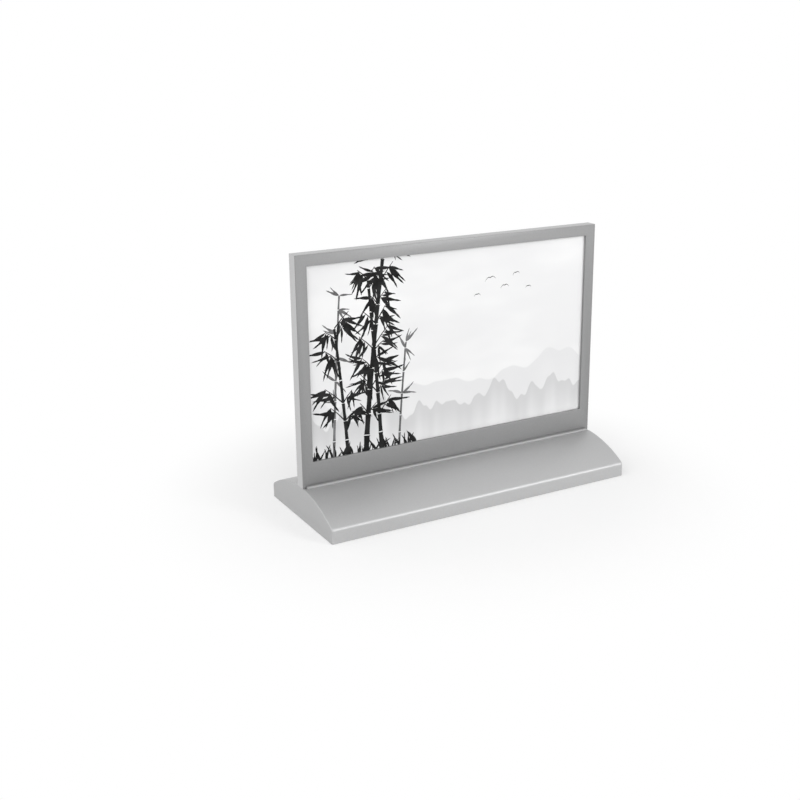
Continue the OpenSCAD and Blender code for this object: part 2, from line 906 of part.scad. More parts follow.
// The tray over the cells: a block cut to the arch, with round pockets, slits and an ear at each end
module cell_tray() {
    color("slategray")
    difference() {
        union() {
            bar_x(-tray_x, tray_x)
                intersection() {
                    polygon(arch_outline(shell_t + loose_gap, inner_r, foot_proud));
                    rect(-wall_y + ledge_w + loose_gap, plate_z1, tray_y1, tray_z1);
                }
            block(
                [-tray_x - ear_l, cell_y - ear_w / 2, ear_z],
                [tray_x + ear_l, cell_y + ear_w / 2, ear_z + ear_t]
            );
        }
        for (i = [0 : cell_n - 1]) {
            rod_z([cell_x(i), cell_y], pocket_r, plate_z1 - cut, pocket_z);
            // Room for the leaf of the negative strip, and its slit through the roof
            translate([cell_x(i), cell_y, 0]) {
                block(
                    [-leaf_half - loose_gap, -leaf_w / 2 - loose_gap, pocket_z - cut],
                    [leaf_half + strip_t + loose_gap, leaf_w / 2 + loose_gap, pocket_z + spring_room]
                );
                block(
                    [leaf_half - seat_gap, -leaf_w / 2 - seat_gap, pocket_z],
                    [leaf_half + strip_t + seat_gap, leaf_w / 2 + seat_gap, tray_z1 + cut]
                );
            }
            // Slit for the blade of the positive strip
            block(
                [cell_x(i) - blade_w / 2 - seat_gap, blade_y0 - screw_gap, plate_z1 - cut],
                [cell_x(i) + blade_w / 2 + seat_gap, blade_y1 + screw_gap, tray_z1 + cut]
            );
        }
        // The hooks of the door pass along both sides
        for (y = [hatch_y0 - door_lap, hatch_y1 - hook_stem - loose_gap])
            block(
                [-tray_x - cut, y, plate_z1 - cut],
                [tray_x + cut, y + door_lap + hook_stem + loose_gap, hook_z1 + loose_gap]
            );
        for (p = tray_screw_places)
            rod_z(p, small_screw_r + board_clear, plate_z1 - cut, crown_z);
    }
}

// The blades stand in the gap between the cells and the pocket wall
blade_y0 = cell_y + cell_r + screw_gap / 2;
blade_y1 = blade_y0 + strip_t;

module coin_cells() {
    color("lightgray")
    for (i = [0 : cell_n - 1]) {
        rod_z([cell_x(i), cell_y], cell_r, cell_z0, cell_z1 - cell_cap_h);
        rod_z([cell_x(i), cell_y], cell_r - cell_cap_in, cell_z0, cell_z1);
    }
}

// A strip on the tray's roof with a leaf down to each cell
module negative_strip() {
    color("goldenrod")
    plate_y(cell_y - leaf_w / 2, cell_y + leaf_w / 2) {
        rect(-row_x - leaf_half, tray_z1, row_x + leaf_half + strip_t, tray_z1 + strip_t);
        for (i = [0 : cell_n - 1])
            translate([cell_x(i), 0])
                polygon([
                    [leaf_half, tray_z1 + strip_t], [leaf_half, cell_z1 + leaf_low],
                    [-leaf_half, cell_z1 + strip_t], [-leaf_half, cell_z1 + screw_gap / 2],
                    [leaf_half + strip_t, cell_z1 + leaf_low - strip_t],
                    [leaf_half + strip_t, tray_z1 + strip_t]
                ]);
    }
}

// A strip on the tray's roof with a blade down the side of each cell
module positive_strip() {
    bus_x = row_x + blade_w / 2;
    color("goldenrod") {
        block([-bus_x, blade_y1 - bus_w, tray_z1], [bus_x, blade_y1, tray_z1 + strip_t]);
        for (i = [0 : cell_n - 1])
            block(
                [cell_x(i) - blade_w / 2, blade_y0, hook_z1 + 2 * loose_gap],
                [cell_x(i) + blade_w / 2, blade_y1, tray_z1 + strip_t]
            );
    }
}

lead_z = hook_z1 + loose_gap + lead_r;

module battery_leads() {
    color("crimson")
    for (side = [-1, 1])
        rod_y(lead_x + side * lead_pitch / 2, lead_z, lead_r, tray_y1, board_y0 + socket_in);
}

module battery_plug() {
    color("ivory")
        block(
            [lead_x - plug_w / 2, board_y0 + socket_in, lead_z - lead_r - screw_gap],
            [lead_x + plug_w / 2, board_y0 + socket_in + plug_d, board_z0]
        );
}

// A hook on the door beside an edge of the hatch, in (y, z), where inward points to the hatch's middle
module hook_outline(edge, inward) {
    stem = edge + inward * slide_gap;
    polygon([
        [stem, door_z0], [stem + inward * hook_stem, door_z0], [stem + inward * hook_stem, hook_z1],
        [edge - inward * hook_reach, hook_z1], [edge - inward * hook_reach, hook_z0], [stem, hook_z0]
    ]);
}

// The door: a panel with grooves to push it by, and hooks on both long sides
module battery_door() {
    color("dimgray")
    difference() {
        union() {
            block([-door_x, door_y0, door_z0], [door_x, door_y1, door_z1]);
            for (x = hook_places)
                bar_x(x - hook_w / 2, x + hook_w / 2) {
                    hook_outline(hatch_y0, 1);
                    hook_outline(hatch_y1, -1);
                }
        }
        for (i = [1 : grip_n])
            block(
                [door_x - i * grip_pitch - grip_w / 2, cell_y - cell_r * grip_share, door_z0 - cut],
                [door_x - i * grip_pitch + grip_w / 2, cell_y + cell_r * grip_share, door_z0 + grip_deep]
            );
    }
}

mid_frame();
front_bezel();
rear_bezel();
front_gasket();
rear_gasket();
front_ink_sheet();
rear_ink_sheet();
front_glass();
rear_glass();
front_bond_sheet();
rear_bond_sheet();
core_plate();
driver_chips();
front_tail();
rear_tail();
base_shell();
left_end_cap();
right_end_cap();
bottom_plate();
rubber_feet();
case_screws();
tongue_screws();
board_screws();
main_board();
radio_module();
board_parts();
tail_sockets();
page_switch();
switch_plunger();
page_button();
status_led();
light_pipe();
cell_tray();
coin_cells();
negative_strip();
positive_strip();
battery_leads();
battery_plug();
battery_door();
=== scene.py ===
"""An electronic paper table sign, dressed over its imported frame: camera, stage, finishes and pieces."""

import math
import random

import bmesh
import bpy
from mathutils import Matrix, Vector
from mathutils.geometry import delaunay_2d_cdt


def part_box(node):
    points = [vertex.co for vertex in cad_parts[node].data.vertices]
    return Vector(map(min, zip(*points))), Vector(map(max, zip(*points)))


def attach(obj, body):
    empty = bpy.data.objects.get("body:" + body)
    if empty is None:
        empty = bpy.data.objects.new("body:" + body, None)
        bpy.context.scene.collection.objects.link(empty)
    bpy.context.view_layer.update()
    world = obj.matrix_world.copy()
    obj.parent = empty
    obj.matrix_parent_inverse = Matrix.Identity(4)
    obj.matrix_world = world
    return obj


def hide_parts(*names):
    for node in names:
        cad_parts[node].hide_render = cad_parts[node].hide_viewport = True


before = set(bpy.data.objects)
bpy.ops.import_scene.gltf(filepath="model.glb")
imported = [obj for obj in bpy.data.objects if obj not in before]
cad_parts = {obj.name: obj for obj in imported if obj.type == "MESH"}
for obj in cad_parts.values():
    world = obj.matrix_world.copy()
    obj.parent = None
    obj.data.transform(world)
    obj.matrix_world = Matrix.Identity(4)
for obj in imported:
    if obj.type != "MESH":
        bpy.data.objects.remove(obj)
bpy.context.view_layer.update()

MM = 0.001

# Places nearer to each other than NEAR count as one, and vertices nearer than MERGE are merged
NEAR = 0.01 * MM
MERGE = 0.002 * MM
QUARTER_TURN = math.radians(90)

# Camera, worked out from the photograph's straight edges: angles in degrees, and the sensor's width in mm
PHOTO_PX = 800
FOCAL_PX = 1173.84
CENTRE_PX = (443.07, 379.68)
SENSOR_WIDTH = 36
NEAREST_SEEN = 0.01
CAMERA_AT = (-0.3044, -0.5026, 0.2381)
CAMERA_DIP = 16.8986
CAMERA_TURN = -30.7465

# Sizes that the frame's boxes give
SHELL_LOW, SHELL_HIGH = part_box("base_shell")
HEAD_LOW, HEAD_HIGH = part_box("front_bezel")
SHEET_LOW, SHEET_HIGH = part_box("front_ink_sheet")
SHELL_END = SHELL_HIGH.x
SIGN_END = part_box("right_end_cap")[1].x
HALF_DEPTH = SHELL_HIGH.y
BASE_FOOT = SHELL_LOW.z
LIP_TOP = SHELL_HIGH.z
SADDLE = HEAD_LOW.z

# Outline of the base, in the sizes of the CAD part: heights are over the table, depths from the middle
CROWN = 17.7 * MM
EDGE_RISE = 10.2 * MM
SHOULDER = 2 * MM
WALL = 1.8 * MM
INNER_FILLET = 0.6 * MM
LIP_INNER = 3.5 * MM
LIP_OUTER = 5.3 * MM
LIP_ROUND = 1.3 * MM
LIP_END = 1.5 * MM
LIP_FADE = 0.8 * MM
SLOT = 2.2 * MM
SLOT_FLOOR = 8.1 * MM
CHANNEL = 3.8 * MM
CHANNEL_FOOT = 6.3 * MM
LEDGE_REACH = 1.2 * MM
LEDGE_FOOT = 2.6 * MM
LEDGE_TOP = 3.6 * MM
ARCH_RADIUS = (HALF_DEPTH**2 + EDGE_RISE**2) / (2 * EDGE_RISE)
ARCH_CENTRE = CROWN - ARCH_RADIUS
ARCH_STEPS = 40
SHOULDER_STEPS = 8
LIP_ROUND_STEPS = 6
FILLET_STEPS = 4

# End caps: their round rim, the spigot that goes in under the arch and the boss that takes a case screw
CORNER = 0.8 * MM
CROWN_DROP = 0.4 * MM
RIM_STEPS = 5
LIP_STEPS = 6
SUNK_LIP = 0.001
SPIGOT_STEPS = 20
SPIGOT_LENGTH = 3 * MM
SPIGOT_SKIN = 1.95 * MM
SPIGOT_DEEP = 3.2 * MM
SPIGOT_FROM = 4.1 * MM
SPIGOT_TO = 29.7 * MM
BOSS_LENGTH = 9 * MM
BOSS_WIDTH = 6 * MM
BOSS_FOOT = 2.6 * MM
BOSS_TOP = 8.3 * MM
BOSS_BORE = 1.25 * MM
BOSS_BORE_TOP = 7.3 * MM
BOSS_HOLE = (79.5 * MM, 17.5 * MM)

# Picture opening of the bezels, and their fine edges
SIGHT_SIDE = 82.05 * MM
SIGHT_LOW = 30.6 * MM
SIGHT_TOP = 128.7 * MM
OUTER_EDGE = 0.3 * MM
SIGHT_EDGE = 0.12 * MM

# Controls in the rear wall of the base, and the spans of the ledge that are cut away behind them
CONTROL_HEIGHT = 4 * MM
BUTTON_WIDTH = 9 * MM
BUTTON_HEIGHT = 2.4 * MM
BUTTON_PLAY = 0.15 * MM
PIPE_PLACE = 12 * MM
PIPE_RADIUS = 1 * MM
PIPE_PLAY = 0.1 * MM
LEDGE_GAPS = ((-6.8 * MM, 6.8 * MM), (10.4 * MM, 13.6 * MM))

# Floor of the channel: half the length of the cable way, and the place and radius of each pair of screw holes
CABLE_WAY = 18 * MM
CHANNEL_HOLES = ((27.8 * MM, 1.3 * MM), (61.5 * MM, 1.3 * MM), (70.1 * MM, 1.25 * MM))


def make_camera():
    """The camera stands where the photograph was taken."""
    data = bpy.data.cameras.new("photo_camera")
    camera = bpy.data.objects.new("photo_camera", data)
    bpy.context.scene.collection.objects.link(camera)
    data.sensor_width = SENSOR_WIDTH
    data.lens = FOCAL_PX / PHOTO_PX * SENSOR_WIDTH
    data.shift_x = (PHOTO_PX / 2 - CENTRE_PX[0]) / PHOTO_PX
    data.shift_y = (CENTRE_PX[1] - PHOTO_PX / 2) / PHOTO_PX
    data.clip_start = NEAREST_SEEN
    camera.location = CAMERA_AT
    camera.rotation_euler = (math.radians(90 - CAMERA_DIP), 0, math.radians(CAMERA_TURN))
    bpy.context.scene.camera = camera


make_camera()
bpy.context.scene.view_settings.view_transform = "Standard"


# Nodes

def new_material(name):
    """An empty node material, and its node tree."""
    material = bpy.data.materials.new(name)
    material.use_nodes = True
    tree = material.node_tree
    tree.nodes.clear()
    return material, tree


def node(tree, kind, **settings):
    """Adds a node. A setting named in_X_Y fills the input "X Y", and any other is a property."""
    made = tree.nodes.new(kind)
    for key, value in settings.items():
        if key.startswith("in_"):
            made.inputs[key[3:].replace("_", " ")].default_value = value
        else:
            setattr(made, key, value)
    return made


def math_node(tree, operation, a, b):
    """A Math node whose inputs are sockets or numbers. Gives its output."""
    made = tree.nodes.new("ShaderNodeMath")
    made.operation = operation
    for socket, value in zip(made.inputs, (a, b)):
        if isinstance(value, (int, float)):
            socket.default_value = value
        else:
            tree.links.new(value, socket)
    return made.outputs[0]


def ramp(tree, source, low, high, to_low=0.0, to_high=1.0):
    """A smooth Map Range from one span of values to another."""
    made = tree.nodes.new("ShaderNodeMapRange")
    made.interpolation_type = "SMOOTHSTEP"
    made.inputs["From Min"].default_value = low
    made.inputs["From Max"].default_value = high
    made.inputs["To Min"].default_value = to_low
    made.inputs["To Max"].default_value = to_high
    tree.links.new(source, made.inputs["Value"])
    return made.outputs["Result"]


NOISE_LOW = 0.3
NOISE_HIGH = 0.7


def spread(tree, source, to_low=0.0, to_high=1.0):
    """Spreads the middle values of a noise over a span."""
    return ramp(tree, source, NOISE_LOW, NOISE_HIGH, to_low, to_high)


def shares(tree, first, second, share):
    """Two values added up, the first with its share and the second with the rest."""
    return math_node(tree, "ADD", math_node(tree, "MULTIPLY", first, share),
                     math_node(tree, "MULTIPLY", second, round(1 - share, 3)))


def object_coords(tree, scale=(1, 1, 1)):
    """Object coordinates, stretched by a Mapping node."""
    coords = node(tree, "ShaderNodeTexCoord")
    mapping = node(tree, "ShaderNodeMapping")
    mapping.inputs["Scale"].default_value = scale
    tree.links.new(coords.outputs["Object"], mapping.inputs["Vector"])
    return mapping.outputs["Vector"]


def noise(tree, vector, scale, detail=3.0, roughness=0.5):
    """The value of a Noise texture."""
    made = node(tree, "ShaderNodeTexNoise")
    made.inputs["Scale"].default_value = scale
    made.inputs["Detail"].default_value = detail
    made.inputs["Roughness"].default_value = roughness
    tree.links.new(vector, made.inputs["Vector"])
    return made.outputs["Fac"]


def blend_colour(tree, factor, a, b):
    """A colour between a and b, each of them a colour or a socket."""
    made = tree.nodes.new("ShaderNodeMix")
    made.data_type = "RGBA"
    tree.links.new(factor, made.inputs["Factor"])
    for socket, value in ((made.inputs[6], a), (made.inputs[7], b)):
        if isinstance(value, (tuple, list)):
            socket.default_value = (*value[:3], 1)
        else:
            tree.links.new(value, socket)
    return made.outputs[2]


def bump(tree, height, strength, distance):
    """A Bump node's normal."""
    made = node(tree, "ShaderNodeBump")
    made.inputs["Strength"].default_value = strength
    made.inputs["Distance"].default_value = distance
    tree.links.new(height, made.inputs["Height"])
    return made.outputs["Normal"]


def shade(tree, colour=None, roughness=None, normal=None, **values):
    """A Principled shader joined to the output. Values that are even all over are set on its own sockets."""
    shader = node(tree, "ShaderNodeBsdfPrincipled")
    for key, value in values.items():
        shader.inputs[key.replace("_", " ")].default_value = value
    for name, source in (("Base Color", colour), ("Roughness", roughness), ("Normal", normal)):
        if source is not None:
            tree.links.new(source, shader.inputs[name])
    output = node(tree, "ShaderNodeOutputMaterial")
    tree.links.new(shader.outputs["BSDF"], output.inputs["Surface"])


def white_where_seen(tree):
    """1 for camera, mirror and clear-piece rays, which see the white background, and 0 for all other rays."""
    rays = node(tree, "ShaderNodeLightPath")
    seen = math_node(tree, "MAXIMUM", rays.outputs["Is Camera Ray"], rays.outputs["Is Glossy Ray"])
    return math_node(tree, "MAXIMUM", seen, rays.outputs["Is Transmission Ray"])


def mix_to_output(tree, factor, first, second, output_kind):
    """Mixes two shaders into the output."""
    mix = node(tree, "ShaderNodeMixShader")
    tree.links.new(factor, mix.inputs[0])
    tree.links.new(first.outputs[0], mix.inputs[1])
    tree.links.new(second.outputs[0], mix.inputs[2])
    output = node(tree, output_kind)
    tree.links.new(mix.outputs[0], output.inputs["Surface"])


# Stage, light and world

WHITE = (1, 1, 1, 1)
FLOOR_REACH = 1.6
FLOOR_TONE = (0.95, 0.95, 0.95, 1)
WHITE_FROM = 0.07
WHITE_TO = 0.17
WHITE_LEAST = 0.3


def floor_material():
    """Pale floor: near the object it shows light and shadow under a share of plain white.

    Further out it is plain white."""
    material, tree = new_material("pale_floor")
    distance = node(tree, "ShaderNodeVectorMath", operation="LENGTH")
    tree.links.new(object_coords(tree), distance.inputs[0])
    far = ramp(tree, distance.outputs["Value"], WHITE_FROM, WHITE_TO, WHITE_LEAST, 1.0)
    lit = node(tree, "ShaderNodeBsdfDiffuse", in_Color=FLOOR_TONE)
    white = node(tree, "ShaderNodeEmission", in_Color=WHITE, in_Strength=1.0)
    share = math_node(tree, "MULTIPLY", far, white_where_seen(tree))
    mix_to_output(tree, share, lit, white, "ShaderNodeOutputMaterial")
    return material


def make_floor():
    """The floor that the sign stands on. It is stage and not part of the object."""
    bpy.ops.object.select_all(action="DESELECT")
    bpy.ops.mesh.primitive_plane_add(size=2 * FLOOR_REACH, location=(0, 0, 0))
    floor = bpy.context.object
    floor.name = "floor"
    floor.data.materials.append(floor_material())


WORLD_LEVEL = 0.55
WORLD_BACK_LIFT = 0.16
WORLD_TOP_CUT = 0.30
WORLD_LEFT_LIFT = 0.95


def make_world():
    """Even studio light, dimmer overhead and brighter behind and on the left.

    The camera, mirror reflections and clear pieces see plain white."""
    world = bpy.data.worlds.new("studio")
    bpy.context.scene.world = world
    world.use_nodes = True
    tree = world.node_tree
    tree.nodes.clear()
    coords = node(tree, "ShaderNodeTexCoord")
    axes = node(tree, "ShaderNodeSeparateXYZ")
    tree.links.new(coords.outputs["Generated"], axes.inputs[0])
    back = ramp(tree, axes.outputs["Y"], 0.0, 0.9, to_low=0.0, to_high=WORLD_BACK_LIFT)
    top = ramp(tree, axes.outputs["Z"], 0.4, 1.0, to_low=0.0, to_high=WORLD_TOP_CUT)
    left = ramp(tree, axes.outputs["X"], 0.0, -0.9, to_low=0.0, to_high=WORLD_LEFT_LIFT)
    level = math_node(tree, "ADD", WORLD_LEVEL, back)
    level = math_node(tree, "SUBTRACT", level, top)
    level = math_node(tree, "ADD", level, left)
    studio = node(tree, "ShaderNodeBackground", in_Color=WHITE)
    tree.links.new(level, studio.inputs["Strength"])
    white = node(tree, "ShaderNodeBackground", in_Color=WHITE, in_Strength=1.0)
    mix_to_output(tree, white_where_seen(tree), studio, white, "ShaderNodeOutputWorld")


def softbox(name, place, target, width, height, watts):
    """An area light that looks at a target."""
    data = bpy.data.lights.new(name, "AREA")
    data.shape = "RECTANGLE"
    data.size = width
    data.size_y = height
    data.energy = watts
    lamp = bpy.data.objects.new(name, data)
    bpy.context.scene.collection.objects.link(lamp)
    lamp.location = place
    aim = Vector(target) - Vector(place)
    lamp.rotation_euler = aim.to_track_quat("-Z", "Y").to_euler()


make_floor()
make_world()
softbox("key_light", place=(-0.5, -0.35, 0.7), target=(0, 0, 0.05), width=0.8, height=0.8, watts=2.0)
softbox("front_light", place=(0.45, -0.79, 0.42), target=(0, 0, 0.02), width=0.3, height=0.46, watts=3.4)


# Finishes

DULL_GRAIN = (0.96, 0.963, 0.968)
BRIGHT_GRAIN = (1.04, 1.042, 1.046)


def anodised_aluminium(name, tone):
    """Bead-blasted aluminium under a clear anodised layer: a fine even grain with a faint drift of tone."""
    material, tree = new_material(name)
    coords = object_coords(tree)
    drift = noise(tree, coords, scale=22, detail=2)
    grain = noise(tree, coords, scale=5200, detail=2, roughness=0.6)
    speck = noise(tree, coords, scale=1900, detail=2, roughness=0.6)
    low = tuple(tone * part for part in DULL_GRAIN)
    high = tuple(tone * part for part in BRIGHT_GRAIN)
    colour = blend_colour(tree, drift, low, high)
    mottled = blend_colour(tree, ramp(tree, speck, 0.35, 0.65), low, high)
    colour = blend_colour(tree, ramp(tree, grain, 0.2, 0.8), colour, mottled)
    rough = spread(tree, grain, to_low=0.46, to_high=0.54)
    shade(tree, colour, rough, bump(tree, grain, strength=0.12, distance=0.03 * MM), Metallic=0.6)
    return material


def moulded(name, low, high, roughness, grain_scale, depth):
    """Moulded plastic or rubber with a spark-eroded grain between two close tones."""
    material, tree = new_material(name)
    coords = object_coords(tree)
    grain = noise(tree, coords, grain_scale, detail=3, roughness=0.6)
    drift = noise(tree, coords, scale=60, detail=2)
    colour = blend_colour(tree, spread(tree, shares(tree, grain, drift, 0.85)), low, high)
    rough = spread(tree, grain, roughness - 0.06, roughness + 0.06)
    shade(tree, colour, rough, bump(tree, grain, strength=0.35, distance=depth))
    return material


def rolled_metal(name, low, high, roughness, stretch=(40, 900, 900)):
    """Plated or rolled metal with fine streaks along one direction."""
    material, tree = new_material(name)
    streak = noise(tree, object_coords(tree, stretch), scale=1.0, detail=4, roughness=0.65)
    drift = noise(tree, object_coords(tree), scale=90, detail=2)
    colour = blend_colour(tree, spread(tree, shares(tree, streak, drift, 0.7)), low, high)
    rough = spread(tree, streak, roughness - 0.07, roughness + 0.08)
    shade(tree, colour, rough, bump(tree, streak, strength=0.2, distance=0.02 * MM), Metallic=1.0)
    return material


def board_laminate():
    """Green solder mask with lighter copper runs under it and a fine glass weave."""
    material, tree = new_material("green_board_laminate")
    runs = node(tree, "ShaderNodeTexBrick", in_Scale=1.0, in_Mortar_Size=0.012, in_Brick_Width=0.9)
    runs.inputs["Color1"].default_value = (0.008, 0.11, 0.045, 1)
    runs.inputs["Color2"].default_value = (0.010, 0.13, 0.055, 1)
    runs.inputs["Mortar"].default_value = (0.04, 0.26, 0.11, 1)
    tree.links.new(object_coords(tree, (210, 320, 320)), runs.inputs["Vector"])
    weave = noise(tree, object_coords(tree, (2600, 2600, 600)), scale=1.0, detail=2)
    colour = blend_colour(tree, ramp(tree, weave, 0.3, 0.8), runs.outputs["Color"], (0.012, 0.16, 0.07))
    rough = spread(tree, weave, to_low=0.28, to_high=0.4)
    shade(tree, colour, rough, bump(tree, weave, strength=0.2, distance=0.02 * MM))
    return material


def flat_cable_film():
    """Amber film with a row of copper runs that shows through it."""
    material, tree = new_material("flat_cable_film")
    wave = node(tree, "ShaderNodeTexWave", in_Scale=1.0, in_Distortion=0.0)
    wave.bands_direction = "X"
    tree.links.new(object_coords(tree, (320, 1, 1)), wave.inputs["Vector"])
    runs = wave.outputs["Fac"]
    drift = noise(tree, object_coords(tree), scale=300, detail=2)
    colour = blend_colour(tree, ramp(tree, runs, 0.35, 0.65), (0.40, 0.13, 0.02), (0.62, 0.27, 0.05))
    rough = spread(tree, drift, to_low=0.25, to_high=0.4)
    shade(tree, colour, rough, bump(tree, runs, strength=0.3, distance=0.02 * MM))
    return material


def display_glass():
    """Glass as it looks over its backing: a pale grey-green under a glossy coat."""
    material, tree = new_material("backed_display_glass")
    drift = noise(tree, object_coords(tree), scale=40, detail=2)
    colour = blend_colour(tree, drift, (0.50, 0.56, 0.54), (0.60, 0.66, 0.64))
    rough = spread(tree, drift, to_low=0.05, to_high=0.12)
    shade(tree, colour, rough, Coat_Weight=0.6, Coat_Roughness=0.04)
    return material


def bond_film():
    """Milky bonding film with small trapped bubbles."""
    material, tree = new_material("milky_bond_film")
    cells = node(tree, "ShaderNodeTexVoronoi", in_Scale=500.0)
    tree.links.new(object_coords(tree), cells.inputs["Vector"])
    dots = ramp(tree, cells.outputs["Distance"], 0.12, 0.2)
    colour = blend_colour(tree, dots, (0.80, 0.78, 0.68), (0.68, 0.66, 0.56))
    rough = ramp(tree, dots, 0, 1, to_low=0.25, to_high=0.45)
    shade(tree, colour, rough, bump(tree, dots, strength=0.3, distance=0.02 * MM))
    return material


def clear_acrylic():
    """The light pipe's clear acrylic, a little frosted."""
    material, tree = new_material("clear_acrylic")
    frost = noise(tree, object_coords(tree), scale=2500, detail=2)
    colour = blend_colour(tree, frost, (0.86, 0.88, 0.88), (0.95, 0.96, 0.96))
    rough = spread(tree, frost, to_low=0.12, to_high=0.28)
    shade(tree, colour, rough, bump(tree, frost, strength=0.2, distance=0.02 * MM),
          Transmission_Weight=0.6, IOR=1.49)
    return material


def lamp_lens():
    """Pale yellow lens of the status lamp, a little cloudy."""
    material, tree = new_material("lamp_lens")
    cloud = noise(tree, object_coords(tree), scale=900, detail=1)
    colour = blend_colour(tree, ramp(tree, cloud, 0.35, 0.65), (0.72, 0.66, 0.22), (0.88, 0.84, 0.45))
    shade(tree, colour, spread(tree, cloud, to_low=0.15, to_high=0.3), Coat_Weight=0.4)
    return material


def matte_sheet(tree, coords, colour):
    """The fine matte surface that the paper and the ink of a display share."""
    grain = noise(tree, coords, scale=3800, detail=2, roughness=0.6)
    rough = spread(tree, grain, to_low=0.50, to_high=0.62)
    shade(tree, colour, rough, bump(tree, grain, strength=0.1, distance=0.01 * MM), Specular_IOR_Level=0.12)


PAPER_WHITE = (0.82, 0.82, 0.82)
PAPER_MIST = (0.745, 0.745, 0.75)

# The ridges of far hills: height, depth of the fade under the crest, tone and how closely the crest bends
HILLS = (
    (62 * MM, 30 * MM, 0.68, 24),
    (50 * MM, 26 * MM, 0.54, 57.3),
)

# How far a crest swings, the middle of that swing, the softness of a crest's edge and the strength of a hill
HILL_SWING = 55 * MM
HILL_MIDDLE = 28 * MM
HILL_EDGE = 1.2 * MM
HILL_STRENGTH = 0.75


def display_paper():
    """The white state of the ink layer: white with low mist and two ridges of far hills."""
    material, tree = new_material("display_paper")
    coords = object_coords(tree)
    axes = node(tree, "ShaderNodeSeparateXYZ")
    tree.links.new(coords, axes.inputs[0])
    mist = noise(tree, object_coords(tree, (9, 9, 26)), scale=1.0, detail=3, roughness=0.55)
    colour = blend_colour(tree, ramp(tree, mist, 0.3, 0.62), PAPER_WHITE, PAPER_MIST)
    for height, depth, tone, stretch in HILLS:
        bend = noise(tree, object_coords(tree, (stretch, 1, 0.001)), scale=1.0, detail=2, roughness=0.5)
        crest = math_node(tree, "ADD", math_node(tree, "MULTIPLY", bend, HILL_SWING), height - HILL_MIDDLE)
        under = math_node(tree, "SUBTRACT", crest, axes.outputs["Z"])
        edge = ramp(tree, under, 0.0, HILL_EDGE)
        fade = ramp(tree, under, 0.0, depth, to_low=1.0, to_high=0.0)
        hill = math_node(tree, "MULTIPLY", math_node(tree, "MULTIPLY", edge, fade), HILL_STRENGTH)
        colour = blend_colour(tree, hill, colour, (tone, tone, tone * 1.01))
    matte_sheet(tree, coords, colour)
    return material


def display_ink(name, low, high):
    """The dark state of the ink layer, with the uneven tone of a brush."""
    material, tree = new_material(name)
    coords = object_coords(tree)
    wash = noise(tree, coords, scale=240, detail=3, roughness=0.6)
    colour = blend_colour(tree, ramp(tree, wash, 0.35, 0.7), (low, low, low), (high, high, high * 1.02))
    matte_sheet(tree, coords, colour)
    return material


# One anodised aluminium in five tones: the shell's tone is its own colour, and the four others paint light
# and shade into it
SHELL_ALUMINIUM = anodised_aluminium("shell_aluminium", tone=0.47)
# Painted shade: the end faces of the caps take a darker copy of the aluminium, where less light falls on them
END_SHADED_ALUMINIUM = anodised_aluminium("end_painted_shade_aluminium", tone=0.425)
# Painted light: the head's side band and the rims of the bezels take a lighter copy of the aluminium, where
# more light falls on them
FRAME_LIT_ALUMINIUM = anodised_aluminium("frame_painted_light_aluminium", tone=0.505)
# Painted shade: the front faces of the bezels take a darker copy of the aluminium, where less light falls on
# them
BEZEL_SHADED_ALUMINIUM = anodised_aluminium("bezel_painted_shade_aluminium", tone=0.275)
# Painted shade: the lips beside the head's foot take a darker copy of the aluminium, which also dulls their
# highlight
LIP_SHADED_ALUMINIUM = anodised_aluminium("lip_painted_shade_aluminium", tone=0.285)
BASE_PLASTIC = moulded(
    "dark_base_plastic", (0.028, 0.029, 0.031), (0.045, 0.046, 0.048), 0.5, 2600, 0.04 * MM)
FOOT_RUBBER = moulded(
    "soft_foot_rubber", (0.014, 0.014, 0.015), (0.028, 0.028, 0.029), 0.82, 3400, 0.06 * MM)
BUTTON_PLASTIC = moulded(
    "grey_button_plastic", (0.20, 0.203, 0.21), (0.26, 0.263, 0.27), 0.42, 3600, 0.02 * MM)
SCREW_STEEL = rolled_metal(
    "plated_screw_steel", (0.40, 0.41, 0.42), (0.56, 0.57, 0.58), 0.3, (700, 700, 120))
CLEAR_ACRYLIC = clear_acrylic()

